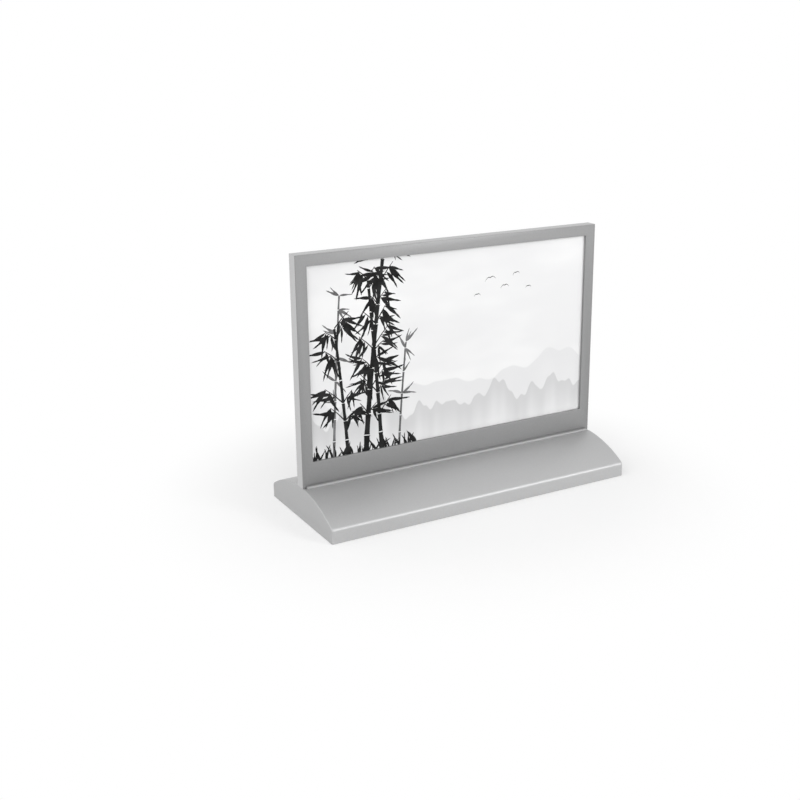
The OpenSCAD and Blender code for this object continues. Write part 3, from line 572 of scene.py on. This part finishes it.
# Finishes of the CAD nodes that stay in view
FINISHES = (
    # The head's side band takes the lighter tone, which is painted light
    (("mid_frame",), FRAME_LIT_ALUMINIUM),
    (("front_gasket", "rear_gasket"),
     moulded("black_gasket_foam", (0.018, 0.018, 0.019), (0.04, 0.04, 0.041), 0.9, 4200, 0.06 * MM)),
    (("front_glass", "rear_glass"), display_glass()),
    (("front_bond_sheet", "rear_bond_sheet"), bond_film()),
    (("core_plate",), rolled_metal("rolled_core_aluminium", (0.62, 0.62, 0.63), (0.74, 0.74, 0.75), 0.32)),
    (("driver_chips",),
     moulded("black_chip_resin", (0.010, 0.010, 0.012), (0.022, 0.022, 0.025), 0.35, 3000, 0.01 * MM)),
    (("front_tail", "rear_tail"), flat_cable_film()),
    (("main_board",), board_laminate()),
    (("radio_module",), rolled_metal("radio_lid_metal", (0.60, 0.60, 0.59), (0.74, 0.74, 0.72), 0.28)),
    (("board_parts",),
     moulded("black_part_resin", (0.015, 0.015, 0.016), (0.035, 0.035, 0.037), 0.45, 2400, 0.02 * MM)),
    (("tail_sockets", "battery_plug"),
     moulded("ivory_socket_plastic", (0.70, 0.66, 0.55), (0.78, 0.75, 0.65), 0.5, 2200, 0.02 * MM)),
    (("page_switch",),
     moulded("black_switch_plastic", (0.03, 0.03, 0.032), (0.05, 0.05, 0.053), 0.5, 2400, 0.02 * MM)),
    (("switch_plunger",),
     moulded("red_plunger_plastic", (0.45, 0.035, 0.03), (0.56, 0.05, 0.04), 0.4, 2400, 0.02 * MM)),
    (("status_led",), lamp_lens()),
    (("cell_tray",),
     moulded("black_tray_plastic", (0.045, 0.047, 0.05), (0.07, 0.072, 0.076), 0.5, 2400, 0.04 * MM)),
    (("coin_cells",), rolled_metal("polished_cell_steel", (0.58, 0.58, 0.57), (0.72, 0.72, 0.71), 0.24)),
    (("negative_strip", "positive_strip"),
     rolled_metal("gold_contact_strip", (0.72, 0.58, 0.30), (0.84, 0.70, 0.40), 0.3)),
    (("battery_leads",),
     moulded("red_lead_cover", (0.42, 0.02, 0.02), (0.55, 0.035, 0.03), 0.4, 1800, 0.02 * MM)),
    (("tongue_screws", "board_screws"), SCREW_STEEL),
)


def dress_cad_nodes():
    """Gives the CAD nodes that stay in view their finishes."""
    for names, material in FINISHES:
        for name in names:
            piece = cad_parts[name]
            if not piece.material_slots:
                piece.data.materials.append(material)
            for slot in piece.material_slots:
                slot.material = material


dress_cad_nodes()


# Modelling by hand

# Share of a face's normal along an axis, from which the face counts as looking that way
FACING = 0.9
END_FACING = 0.8
RIM_FACING = 0.6


def start(kind, **settings):
    """Adds a primitive, with nothing else selected and its place and size in its mesh."""
    leave()
    bpy.ops.object.select_all(action="DESELECT")
    getattr(bpy.ops.mesh, f"primitive_{kind}_add")(**settings)
    piece = bpy.context.object
    bpy.ops.object.transform_apply(location=True, rotation=True, scale=True)
    return piece


def leave():
    """Back to object mode."""
    if bpy.context.mode != "OBJECT":
        bpy.ops.object.mode_set(mode="OBJECT")


def only(piece):
    """Makes a piece the only selected and active one."""
    leave()
    bpy.ops.object.select_all(action="DESELECT")
    piece.select_set(True)
    bpy.context.view_layer.objects.active = piece


def choose(piece, kind, test):
    """Selects the vertices, edges or faces that pass a test, and stays in edit mode."""
    only(piece)
    bpy.ops.object.mode_set(mode="EDIT")
    bpy.ops.mesh.select_mode(type=kind)
    bpy.ops.mesh.select_all(action="DESELECT")
    mesh = bmesh.from_edit_mesh(piece.data)
    for part in {"VERT": mesh.verts, "EDGE": mesh.edges, "FACE": mesh.faces}[kind]:
        part.select_set(bool(test(part)))
    mesh.select_flush_mode()
    bmesh.update_edit_mesh(piece.data)


def pull(dx, dy, dz):
    """Extrudes what is selected, and moves it."""
    bpy.ops.mesh.extrude_region_move(TRANSFORM_OT_translate={"value": (dx, dy, dz)})


def turn(angle, y, z, steps):
    """Spins the selected edge about a line along X, from +Y towards +Z where the angle is positive."""
    bpy.ops.mesh.spin(steps=steps, angle=-angle, center=(0, y, z), axis=(1, 0, 0))


def weld(piece):
    """Merges doubles and turns the faces outwards."""
    choose(piece, "VERT", lambda v: True)
    bpy.ops.mesh.remove_doubles(threshold=MERGE)
    bpy.ops.mesh.normals_make_consistent(inside=False)
    leave()


def apply_modifier(piece, kind, **settings):
    """Adds a modifier and applies it."""
    only(piece)
    modifier = piece.modifiers.new("shape", kind)
    for key, value in settings.items():
        setattr(modifier, key, value)
    bpy.ops.object.modifier_apply(modifier=modifier.name)


def cut(piece, cutter):
    """Cuts a shape out of a piece."""
    apply_modifier(piece, "BOOLEAN", operation="DIFFERENCE", object=cutter, solver="EXACT")
    bpy.data.objects.remove(cutter)


def box_between(low, high):
    """A box given by its two corners."""
    size = Vector(high) - Vector(low)
    middle = (Vector(high) + Vector(low)) / 2
    return start("cube", size=1, location=middle, scale=size)


def round_cutter(x, y, z, radius, length, along_y=False):
    """A rod that cuts a hole, upright or along the depth."""
    turned = (QUARTER_TURN, 0, 0) if along_y else (0, 0, 0)
    return start("cylinder", vertices=48, radius=radius, depth=length, location=(x, y, z), rotation=turned)


def soften(piece, angle):
    """Smooth shading up to an angle between faces, in degrees."""
    only(piece)
    bpy.ops.object.shade_smooth_by_angle(angle=math.radians(angle))


def finish_piece(piece, name, material, body, node_name):
    """Names a piece, gives it its finish, and lets it stand for a CAD node on a body."""
    piece.name = name
    piece.data.name = name
    piece.data.materials.clear()
    piece.data.materials.append(material)
    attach(piece, body)
    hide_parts(node_name)


def paint_light_and_shade(piece, material, test):
    """Gives the faces that pass a test a second tone of the piece's finish, which paints light and shade into
    them.
    """
    piece.data.materials.append(material)
    choose(piece, "FACE", test)
    piece.active_material_index = len(piece.data.materials) - 1
    bpy.ops.object.material_slot_assign()
    leave()


# Head

def bezel_plate(name, side, node_name):
    """One bezel: a plate with the picture opening, in front where side is -1 and behind where it is 1."""
    face_y = side * -HEAD_LOW.y
    near_y, far_y = sorted((face_y, side * -HEAD_HIGH.y))
    piece = box_between((HEAD_LOW.x, near_y, HEAD_LOW.z), (HEAD_HIGH.x, far_y, HEAD_HIGH.z))
    border = HEAD_HIGH.z - SIGHT_TOP
    choose(piece, "FACE", lambda f: abs(f.normal.y) > FACING)
    bpy.ops.mesh.inset(thickness=border, use_individual=True)
    choose(piece, "VERT", lambda v: abs(v.co.x) < HEAD_HIGH.x - border / 2 and v.co.x > 0)
    bpy.ops.transform.translate(value=(SIGHT_SIDE - (HEAD_HIGH.x - border), 0, 0))
    choose(piece, "VERT", lambda v: abs(v.co.x) < HEAD_HIGH.x - border / 2 and v.co.x < 0)
    bpy.ops.transform.translate(value=(HEAD_HIGH.x - border - SIGHT_SIDE, 0, 0))
    low_inner = HEAD_LOW.z + border
    choose(piece, "VERT", lambda v: abs(v.co.z - low_inner) < border / 4)
    bpy.ops.transform.translate(value=(0, 0, SIGHT_LOW - low_inner))
    choose(piece, "FACE", lambda f: abs(f.normal.y) > FACING and abs(f.calc_center_median().x) < border
           and SIGHT_LOW < f.calc_center_median().z < SIGHT_TOP)
    bpy.ops.mesh.bridge_edge_loops()
    leave()

    def on_face(edge):
        """Whether an edge is on the face that shows."""
        return all(abs(v.co.y - face_y) < NEAR for v in edge.verts)

    def outer(vert):
        """Whether a vertex is on the outer rim of the plate."""
        return (abs(vert.co.x) > HEAD_HIGH.x - NEAR or vert.co.z > HEAD_HIGH.z - NEAR
                or vert.co.z < HEAD_LOW.z + NEAR)

    choose(piece, "EDGE", lambda e: on_face(e) and all(outer(v) for v in e.verts))
    bpy.ops.mesh.bevel(offset=OUTER_EDGE, segments=3, affect="EDGES")
    choose(piece, "EDGE", lambda e: on_face(e) and len(e.link_faces) == 2 and e.calc_face_angle(0) > 1
           and all(not outer(v) for v in e.verts))
    bpy.ops.mesh.bevel(offset=SIGHT_EDGE, segments=2, affect="EDGES")
    leave()
    weld(piece)
    soften(piece, angle=32)
    # Painted shade: the plate first takes the darker tone, which stays on its front faces
    finish_piece(piece, name, BEZEL_SHADED_ALUMINIUM, "sign", node_name)
    # Painted light: the rims of the plate take the lighter tone
    paint_light_and_shade(piece, FRAME_LIT_ALUMINIUM, lambda f: abs(f.normal.y) < RIM_FACING and outer(f.verts[0]))


bezel_plate("front_bezel_plate", -1, "front_bezel")
bezel_plate("rear_bezel_plate", 1, "rear_bezel")


# Pictures on the displays: an ink drawing of bamboo and grass, with birds over misty hills, in mm

DRAWING_SEED = 11
GRASS_FOOT = 29.6
SHEET_MARGIN = 0.2
SMALLEST_STROKE = 0.05
LEAF_STEPS = 6

# The black stalks: place along the sheet, foot, top, lean, width and how densely the twigs stand
BLACK_STALKS = (
    (-52, 28, 132, 0.035, 3.4, 1.0),
    (-43, 28, 118, -0.022, 2.5, 0.9),
    (-62, 28, 96, -0.03, 2.1, 0.8),
)

# The pale stalks behind them: place along the sheet, foot, top, lean and width
PALE_STALKS = (
    (-70, 28, 112, 0.02, 1.6),
    (-33, 28, 84, 0.03, 1.4),
)

# The birds: place, height, span of one wing and tilt
BIRDS = (
    (22, 112, 3.4, 0.15),
    (31, 107, 2.6, 0.1),
    (38, 113, 2.2, 0.2),
    (46, 105, 1.8, 0.05),
    (14, 104, 2.0, 0.1),
)

PAPER = display_paper()
INK = display_ink("display_ink", 0.006, 0.022)
PALE_INK = display_ink("display_pale_ink", 0.10, 0.18)


def stroke(points, widths):
    """The outline of a brush stroke along points, whose width at each is given."""
    left, right = [], []
    for i, (x, z) in enumerate(points):
        before, after = points[max(i - 1, 0)], points[min(i + 1, len(points) - 1)]
        run, rise = after[0] - before[0], after[1] - before[1]
        length = math.hypot(run, rise)
        side = (-rise / length * widths[i] / 2, run / length * widths[i] / 2)
        left.append((x + side[0], z + side[1]))
        right.append((x - side[0], z - side[1]))
    return left + right[::-1]


def leaf(rng, x, z, angle, length):
    """A bamboo leaf or a blade of grass from its foot: narrow at both ends and a little bent."""
    bend = rng.uniform(-0.25, 0.25)
    width = length * rng.uniform(0.13, 0.18)
    points, widths = [], []
    for step in range(LEAF_STEPS + 1):
        along = step / LEAF_STEPS
        turned = angle + bend * along
        points.append((x + length * along * math.cos(turned), z + length * along * math.sin(turned)))
        belly = math.sin(math.pi * min(along * 1.25, 1) ** 0.8) if along < 0.8 else (1 - along) * 2.6
        widths.append(width * belly + 0.06)
    return stroke(points, widths)


def stalk(rng, x, z_low, z_high, lean, width):
    """The joints of one bamboo stalk as separate strokes, with their places."""
    strokes, joints = [], []
    z = z_low
    while z < z_high:
        reach = min(rng.uniform(9, 13), z_high - z + 0.5)
        here = x + lean * (z - z_low) ** 1.25
        there = x + lean * (z + reach - z_low) ** 1.25
        strokes.append(stroke(
            [(here, z + 0.25), (here + (there - here) * 0.08, z + 0.9), ((here + there) / 2, z + reach / 2),
             (there - (there - here) * 0.08, z + reach - 0.9), (there, z + reach - 0.25)],
            [width * 1.12, width * 0.95, width * 0.86, width * 0.95, width * 1.12]))
        joints.append((there, z + reach))
        z += reach
        width *= 0.94
    return strokes, joints


def bird(x, z, span, tilt):
    """A far bird: two thin bent wings."""
    wings = []
    for side in (-1, 1):
        points = [(x + side * span * t, z + tilt * side * span * t + span * (0.75 * t - 1.15 * t * t))
                  for t in (0, 0.3, 0.6, 1)]
        wings.append(stroke(points, [0.42, 0.4, 0.26, 0.08]))
    return wings


def twig(rng, x, z, side):
    """A twig at one side of a joint, with its fan of leaves."""
    angle = math.radians(90 - side * rng.uniform(28, 55))
    reach = rng.uniform(7, 15)
    tip_x, tip_z = x + reach * math.cos(angle), z + reach * math.sin(angle)
    strokes = [stroke([(x, z), ((x + tip_x) / 2, (z + tip_z) / 2 + 0.4), (tip_x, tip_z)], [0.7, 0.5, 0.3])]
    for _ in range(rng.randint(5, 8)):
        part = rng.uniform(0.35, 1.0)
        fan = angle - side * math.radians(rng.uniform(35, 150))
        strokes.append(leaf(rng, x + (tip_x - x) * part, z + (tip_z - z) * part, fan, rng.uniform(7, 13)))
    return strokes


def picture_strokes():
    """All strokes of the drawing, the black ones and the pale ones."""
    rng = random.Random(DRAWING_SEED)
    black, pale = [], []
    for x, low, high, lean, width, dense in BLACK_STALKS:
        strokes, joints = stalk(rng, x, low, high, lean, width)
        black += strokes
        for joint_x, joint_z in joints[1:]:
            for side in (-1, 1):
                if rng.random() <= 0.42 + 0.4 * dense:
                    black += twig(rng, joint_x, joint_z, side)
    for x, low, high, lean, width in PALE_STALKS:
        strokes, joints = stalk(rng, x, low, high, lean, width)
        pale += strokes
        for joint_x, joint_z in joints[2:]:
            for _ in range(3):
                angle = math.radians(rng.uniform(-70, 250))
                pale.append(leaf(rng, joint_x, joint_z, angle, rng.uniform(6, 10)))
    for x in range(-80, -20, 3):
        for _ in range(3):
            angle = math.radians(90 + rng.uniform(-40, 40))
            black.append(leaf(rng, x + rng.uniform(-1.5, 1.5), GRASS_FOOT, angle, rng.uniform(3, 9)))
    for x, z, span, tilt in BIRDS:
        black += bird(x, z, span, tilt)
    return black, pale


def trimmed(outlines, low, high):
    """The outlines held inside the sheet. Those that fall outside it are left out."""
    kept = []
    for outline in outlines:
        held = [(min(max(x, low[0]), high[0]), min(max(z, low[1]), high[1])) for x, z in outline]
        spans = [max(c) - min(c) for c in zip(*held)]
        if min(spans) > SMALLEST_STROKE:
            kept.append(held)
    return kept


def inside(outline, x, z):
    """Whether a place is inside an outline."""
    odd = False
    for (ax, az), (bx, bz) in zip(outline, outline[1:] + outline[:1]):
        if (az > z) != (bz > z) and x < ax + (z - az) / (bz - az) * (bx - ax):
            odd = not odd
    return odd


def covered(outlines, x, z):
    """Whether any outline covers a place. Each outline comes with its box, which is tried first."""
    return any(x0 <= x <= x1 and z0 <= z <= z1 and inside(outline, x, z)
               for outline, (x0, x1, z0, z1) in outlines)


def with_boxes(outlines):
    """Outlines, each with its box."""
    boxed = []
    for outline in outlines:
        xs, zs = zip(*outline)
        boxed.append((outline, (min(xs), max(xs), min(zs), max(zs))))
    return boxed


def picture_sheet(name, node_name):
    """A display sheet whose front face is parted along the strokes of the drawing."""
    low = (SHEET_LOW.x / MM, SHEET_LOW.z / MM)
    high = (SHEET_HIGH.x / MM, SHEET_HIGH.z / MM)
    low_held = (low[0] + SHEET_MARGIN, low[1] + SHEET_MARGIN)
    high_held = (high[0] - SHEET_MARGIN, high[1] - SHEET_MARGIN)
    black, pale = (trimmed(group, low_held, high_held) for group in picture_strokes())
    points, edges = [], []
    for outline in [[low, (high[0], low[1]), high, (low[0], high[1])]] + black + pale:
        first = len(points)
        edges += [(first + i, first + (i + 1) % len(outline)) for i in range(len(outline))]
        points += [Vector(p) for p in outline]
    verts, _, cells, _, _, _ = delaunay_2d_cdt(points, edges, [], 0, 0.001)
    mesh = bpy.data.meshes.new(name)
    mesh.from_pydata([(v.x * MM, SHEET_LOW.y, v.y * MM) for v in verts], [], cells)
    for material in (PAPER, INK, PALE_INK):
        mesh.materials.append(material)
    black, pale = with_boxes(black), with_boxes(pale)
    for face in mesh.polygons:
        x, z = face.center.x / MM, face.center.z / MM
        face.material_index = 1 if covered(black, x, z) else 2 if covered(pale, x, z) else 0
    piece = bpy.data.objects.new(name, mesh)
    bpy.context.scene.collection.objects.link(piece)
    choose(piece, "EDGE", lambda e: len(e.link_faces) == 1)
    pull(0, SHEET_HIGH.y - SHEET_LOW.y, 0)
    bpy.ops.mesh.edge_face_add()
    leave()
    weld(piece)
    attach(piece, "sign")
    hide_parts(node_name)
    return piece


def half_turned(piece, name, node_name):
    """A copy of a piece with its own mesh, turned half way round the upright axis."""
    copy = piece.copy()
    copy.data = piece.data.copy()
    copy.name = copy.data.name = name
    bpy.context.scene.collection.objects.link(copy)
    only(copy)
    copy.rotation_euler.z = math.pi
    bpy.ops.object.transform_apply(location=False, rotation=True, scale=False)
    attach(copy, "sign")
    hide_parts(node_name)


front_picture = picture_sheet("front_picture", "front_ink_sheet")
half_turned(front_picture, "rear_picture", "rear_ink_sheet")


# Base

def arch_height(y, inset=0.0):
    """Height of the arch over a place on the depth, on a skin moved inwards by an inset."""
    return ARCH_CENTRE + math.sqrt((ARCH_RADIUS - inset) ** 2 - y * y)


def fillet(inset, radius):
    """Centre and end angle of the round between the upright wall and the arch."""
    y = HALF_DEPTH - inset - radius
    z = ARCH_CENTRE + math.sqrt((ARCH_RADIUS - inset - radius) ** 2 - y * y)
    return y, z, math.atan2(z - ARCH_CENTRE, y)


def first_edge(x0, x1, y, z):
    """A mesh in edit mode that is one selected edge along X, from which an outline is drawn."""
    piece = start("plane", size=1)
    choose(piece, "VERT", lambda v: v.co.y < 0)
    bpy.ops.mesh.delete(type="VERT")
    bpy.ops.mesh.select_all(action="SELECT")
    bpy.ops.transform.resize(value=(x1 - x0, 1, 1), center_override=(0, 0, 0))
    bpy.ops.transform.translate(value=((x0 + x1) / 2, y - 0.5, z))
    return piece


def draw_outside(z_from):
    """Goes up the outer wall, over the shoulder and the arch, and round the lip down to the saddle."""
    y, z, angle = fillet(0, SHOULDER)
    pull(0, 0, z - z_from)
    turn(angle, y, z, SHOULDER_STEPS)
    turn(math.acos(LIP_OUTER / ARCH_RADIUS) - angle, 0, ARCH_CENTRE, ARCH_STEPS)
    pull(0, 0, LIP_TOP - LIP_ROUND - arch_height(LIP_OUTER))
    turn(QUARTER_TURN, LIP_OUTER - LIP_ROUND, LIP_TOP - LIP_ROUND, LIP_ROUND_STEPS)
    pull(0, LIP_INNER - LIP_OUTER + LIP_ROUND, 0)
    pull(0, 0, SADDLE - LIP_TOP)


def close_end(piece, x):
    """Closes the open outline at a place along X with one face."""
    choose(piece, "EDGE", lambda e: len(e.link_faces) == 1 and all(abs(v.co.x - x) < NEAR for v in e.verts))
    bpy.ops.mesh.edge_face_add()
    leave()


def base_shell():
    """The extruded skin: half of its outline is drawn as one strip, mirrored and closed at both ends."""
    piece = first_edge(-SHELL_END, SHELL_END, 0, CHANNEL_FOOT)
    inner_y, inner_z, inner_angle = fillet(WALL, INNER_FILLET)
    channel_angle = math.acos(CHANNEL / (ARCH_RADIUS - WALL))
    pull(0, CHANNEL, 0)
    pull(0, 0, arch_height(CHANNEL, WALL) - CHANNEL_FOOT)
    turn(inner_angle - channel_angle, 0, ARCH_CENTRE, ARCH_STEPS)
    turn(-inner_angle, inner_y, inner_z, FILLET_STEPS)
    pull(0, 0, LEDGE_TOP - inner_z)
    pull(0, -LEDGE_REACH, 0)
    pull(0, 0, LEDGE_FOOT - LEDGE_TOP)
    pull(0, LEDGE_REACH, 0)
    pull(0, 0, BASE_FOOT - LEDGE_FOOT)
    pull(0, WALL, 0)
    draw_outside(BASE_FOOT)
    pull(0, SLOT - LIP_INNER, 0)
    pull(0, 0, SLOT_FLOOR - SADDLE)
    pull(0, -SLOT, 0)
    leave()
    apply_modifier(piece, "MIRROR", use_axis=(False, True, False), merge_threshold=NEAR)
    for end in (-SHELL_END, SHELL_END):
        close_end(piece, end)
    weld(piece)
    return piece


def make_twin(piece):
    """Turns a right-hand piece into its left-hand twin."""
    only(piece)
    piece.scale.x = -1
    bpy.ops.object.transform_apply(location=False, rotation=False, scale=True)
    weld(piece)


def draw_on(piece, x, next_x):
    """Extrudes the open end of a piece along X."""
    choose(piece, "EDGE", lambda e: len(e.link_faces) == 1)
    pull(next_x - x, 0, 0)
    leave()


def end_cap(side):
    """An end cap: the outer outline, closed on its inner side.

    Going outwards, the lips sink into the crown, and the rim is round.
    """
    x = SIGN_END - LIP_END - LIP_FADE
    piece = first_edge(SHELL_END, x, 0, BASE_FOOT)
    pull(0, HALF_DEPTH, 0)
    draw_outside(BASE_FOOT)
    pull(0, -LIP_INNER, 0)
    leave()
    apply_modifier(piece, "MIRROR", use_axis=(False, True, False), merge_threshold=NEAR)
    close_end(piece, SHELL_END)
    lip_foot = arch_height(LIP_OUTER)
    height = 1.0
    for step in range(1, LIP_STEPS + 1):
        angle = QUARTER_TURN * step / LIP_STEPS
        next_x = SIGN_END - LIP_END - LIP_FADE + LIP_FADE * math.sin(angle)
        next_height = max(math.cos(angle), SUNK_LIP)
        draw_on(piece, x, next_x)
        choose(piece, "VERT", lambda v: v.co.x > next_x - NEAR and v.co.z > lip_foot
               and LIP_INNER - NEAR < abs(v.co.y) < LIP_OUTER + NEAR)
        bpy.ops.transform.resize(value=(1, 1, next_height / height), center_override=(0, 0, lip_foot))
        leave()
        x, height = next_x, next_height
    draw_on(piece, x, SIGN_END - CORNER)
    x, depth, height = SIGN_END - CORNER, 1.0, 1.0
    for step in range(1, RIM_STEPS + 1):
        angle = QUARTER_TURN * step / RIM_STEPS
        next_x = SIGN_END - CORNER + CORNER * math.sin(angle)
        next_depth = 1 - CORNER / HALF_DEPTH * (1 - math.cos(angle))
        next_height = 1 - CROWN_DROP / (CROWN - BASE_FOOT) * (1 - math.cos(angle))
        draw_on(piece, x, next_x)
        choose(piece, "VERT", lambda v: v.co.x > next_x - NEAR and abs(v.co.y) > LIP_OUTER + NEAR)
        bpy.ops.transform.resize(value=(1, next_depth / depth, 1), center_override=(0, 0, 0))
        leave()
        choose(piece, "VERT", lambda v: v.co.x > next_x - NEAR)
        bpy.ops.transform.resize(value=(1, 1, next_height / height), center_override=(0, 0, BASE_FOOT))
        leave()
        x, depth, height = next_x, next_depth, next_height
    choose(piece, "EDGE", lambda e: len(e.link_faces) == 1)
    bpy.ops.mesh.edge_face_add()
    leave()
    weld(piece)
    add_hidden_side(piece)
    if side < 0:
        make_twin(piece)
    return piece


def spigot():
    """Half of the band of an end cap that goes in under the arch, between two arcs."""
    low, high = arch_height(SPIGOT_FROM, SPIGOT_DEEP), arch_height(SPIGOT_FROM, SPIGOT_SKIN)
    piece = first_edge(SHELL_END - SPIGOT_LENGTH, SHELL_END, SPIGOT_FROM, high)
    outer, inner = ARCH_RADIUS - SPIGOT_SKIN, ARCH_RADIUS - SPIGOT_DEEP
    turn(math.acos(SPIGOT_TO / outer) - math.acos(SPIGOT_FROM / outer), 0, ARCH_CENTRE, SPIGOT_STEPS)
    pull(0, 0, arch_height(SPIGOT_TO, SPIGOT_DEEP) - arch_height(SPIGOT_TO, SPIGOT_SKIN))
    turn(math.acos(SPIGOT_FROM / inner) - math.acos(SPIGOT_TO / inner), 0, ARCH_CENTRE, SPIGOT_STEPS)
    pull(0, 0, high - low)
    leave()
    choose(piece, "VERT", lambda v: True)
    bpy.ops.mesh.remove_doubles(threshold=MERGE)
    leave()
    for end in (SHELL_END - SPIGOT_LENGTH, SHELL_END):
        close_end(piece, end)
    weld(piece)
    return piece


def boss():
    """The block of an end cap that takes a case screw."""
    x, y = BOSS_HOLE
    piece = box_between((SHELL_END - BOSS_LENGTH, y - BOSS_WIDTH / 2, BOSS_FOOT),
                        (SHELL_END, y + BOSS_WIDTH / 2, BOSS_TOP))
    cut(piece, round_cutter(x, y, BOSS_BORE_TOP - BOSS_TOP / 2, BOSS_BORE, BOSS_TOP))
    return piece


def add_hidden_side(piece):
    """Joins the spigots and the screw bosses to an end cap, in front and behind."""
    parts = [spigot(), boss()]
    for part in parts:
        apply_modifier(part, "MIRROR", use_axis=(False, True, False), use_mirror_merge=False)
        weld(part)
    only(piece)
    for part in parts:
        part.select_set(True)
    bpy.ops.object.join()


def open_shell(piece):
    """Cuts the holes of the controls, the cables and the screws, and clears the ledge behind the controls."""
    wall_y = HALF_DEPTH - WALL
    middle_y = HALF_DEPTH - WALL / 2
    reach = (BUTTON_WIDTH - BUTTON_HEIGHT) / 2
    height = BUTTON_HEIGHT + 2 * BUTTON_PLAY
    for x in (-reach, reach):
        cut(piece, round_cutter(x, middle_y, CONTROL_HEIGHT, height / 2, 2 * WALL, along_y=True))
    cut(piece, box_between((-reach, middle_y - WALL, CONTROL_HEIGHT - height / 2),
                           (reach, middle_y + WALL, CONTROL_HEIGHT + height / 2)))
    cut(piece, round_cutter(PIPE_PLACE, middle_y, CONTROL_HEIGHT,
                            PIPE_RADIUS + PIPE_PLAY, 2 * WALL, along_y=True))
    for low, high in LEDGE_GAPS:
        cut(piece, box_between((low, wall_y - 2 * LEDGE_REACH, LEDGE_FOOT - WALL),
                               (high, wall_y, CONTROL_HEIGHT + WALL)))
    cut(piece, box_between((-CABLE_WAY, -2 * CHANNEL, CHANNEL_FOOT - WALL),
                           (CABLE_WAY, 2 * CHANNEL, SLOT_FLOOR)))
    for x, radius in CHANNEL_HOLES:
        for place in (-x, x):
            cut(piece, round_cutter(place, 0, CHANNEL_FOOT, radius, 4 * WALL))


def rounded_copy(node_name, name, material, body, width):
    """A copy of a CAD node with its sharp edges broken by a fine round."""
    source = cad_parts[node_name]
    piece = bpy.data.objects.new(name, source.data.copy())
    bpy.context.scene.collection.objects.link(piece)
    piece.matrix_world = source.matrix_world
    only(piece)
    bpy.ops.object.transform_apply(location=True, rotation=True, scale=True)
    choose(piece, "VERT", lambda v: True)
    bpy.ops.mesh.remove_doubles(threshold=MERGE)
    bpy.ops.mesh.dissolve_limited(angle_limit=math.radians(1))
    leave()
    apply_modifier(piece, "BEVEL", width=width, segments=2, limit_method="ANGLE",
                   angle_limit=math.radians(40))
    soften(piece, angle=30)
    finish_piece(piece, name, material, body, node_name)


def on_lip(face):
    """Whether a face is on one of the lips."""
    middle = face.calc_center_median()
    return abs(middle.y) < LIP_OUTER + NEAR and middle.z > arch_height(LIP_OUTER) + 0.02 * MM


shell = base_shell()
open_shell(shell)
soften(shell, angle=24)
finish_piece(shell, "base_shell_skin", SHELL_ALUMINIUM, "sign", "base_shell")
# Painted shade: the lips of the skin are made darker
paint_light_and_shade(shell, LIP_SHADED_ALUMINIUM, on_lip)
for side, place in ((-1, "left"), (1, "right")):
    cap = end_cap(side)
    soften(cap, angle=24)
    finish_piece(cap, f"{place}_end_plate", SHELL_ALUMINIUM, "sign", f"{place}_end_cap")
    # Painted shade: the faces at the ends of the cap are made darker
    paint_light_and_shade(cap, END_SHADED_ALUMINIUM, lambda f: abs(f.normal.x) > END_FACING)
    # Painted shade: the lips of the cap are made darker
    paint_light_and_shade(cap, LIP_SHADED_ALUMINIUM, on_lip)


# Underside and controls, with the width of the round on their edges

rounded_copy("bottom_plate", "bottom_cover", BASE_PLASTIC, "sign", 0.12 * MM)
rounded_copy("rubber_feet", "round_feet", FOOT_RUBBER, "sign", 0.3 * MM)
rounded_copy("case_screws", "cross_head_screws", SCREW_STEEL, "sign", 0.08 * MM)
rounded_copy("light_pipe", "lamp_window", CLEAR_ACRYLIC, "sign", 0.15 * MM)
rounded_copy("page_button", "page_key", BUTTON_PLASTIC, "page_button", 0.2 * MM)
rounded_copy("battery_door", "battery_lid", BASE_PLASTIC, "battery_door", 0.12 * MM)
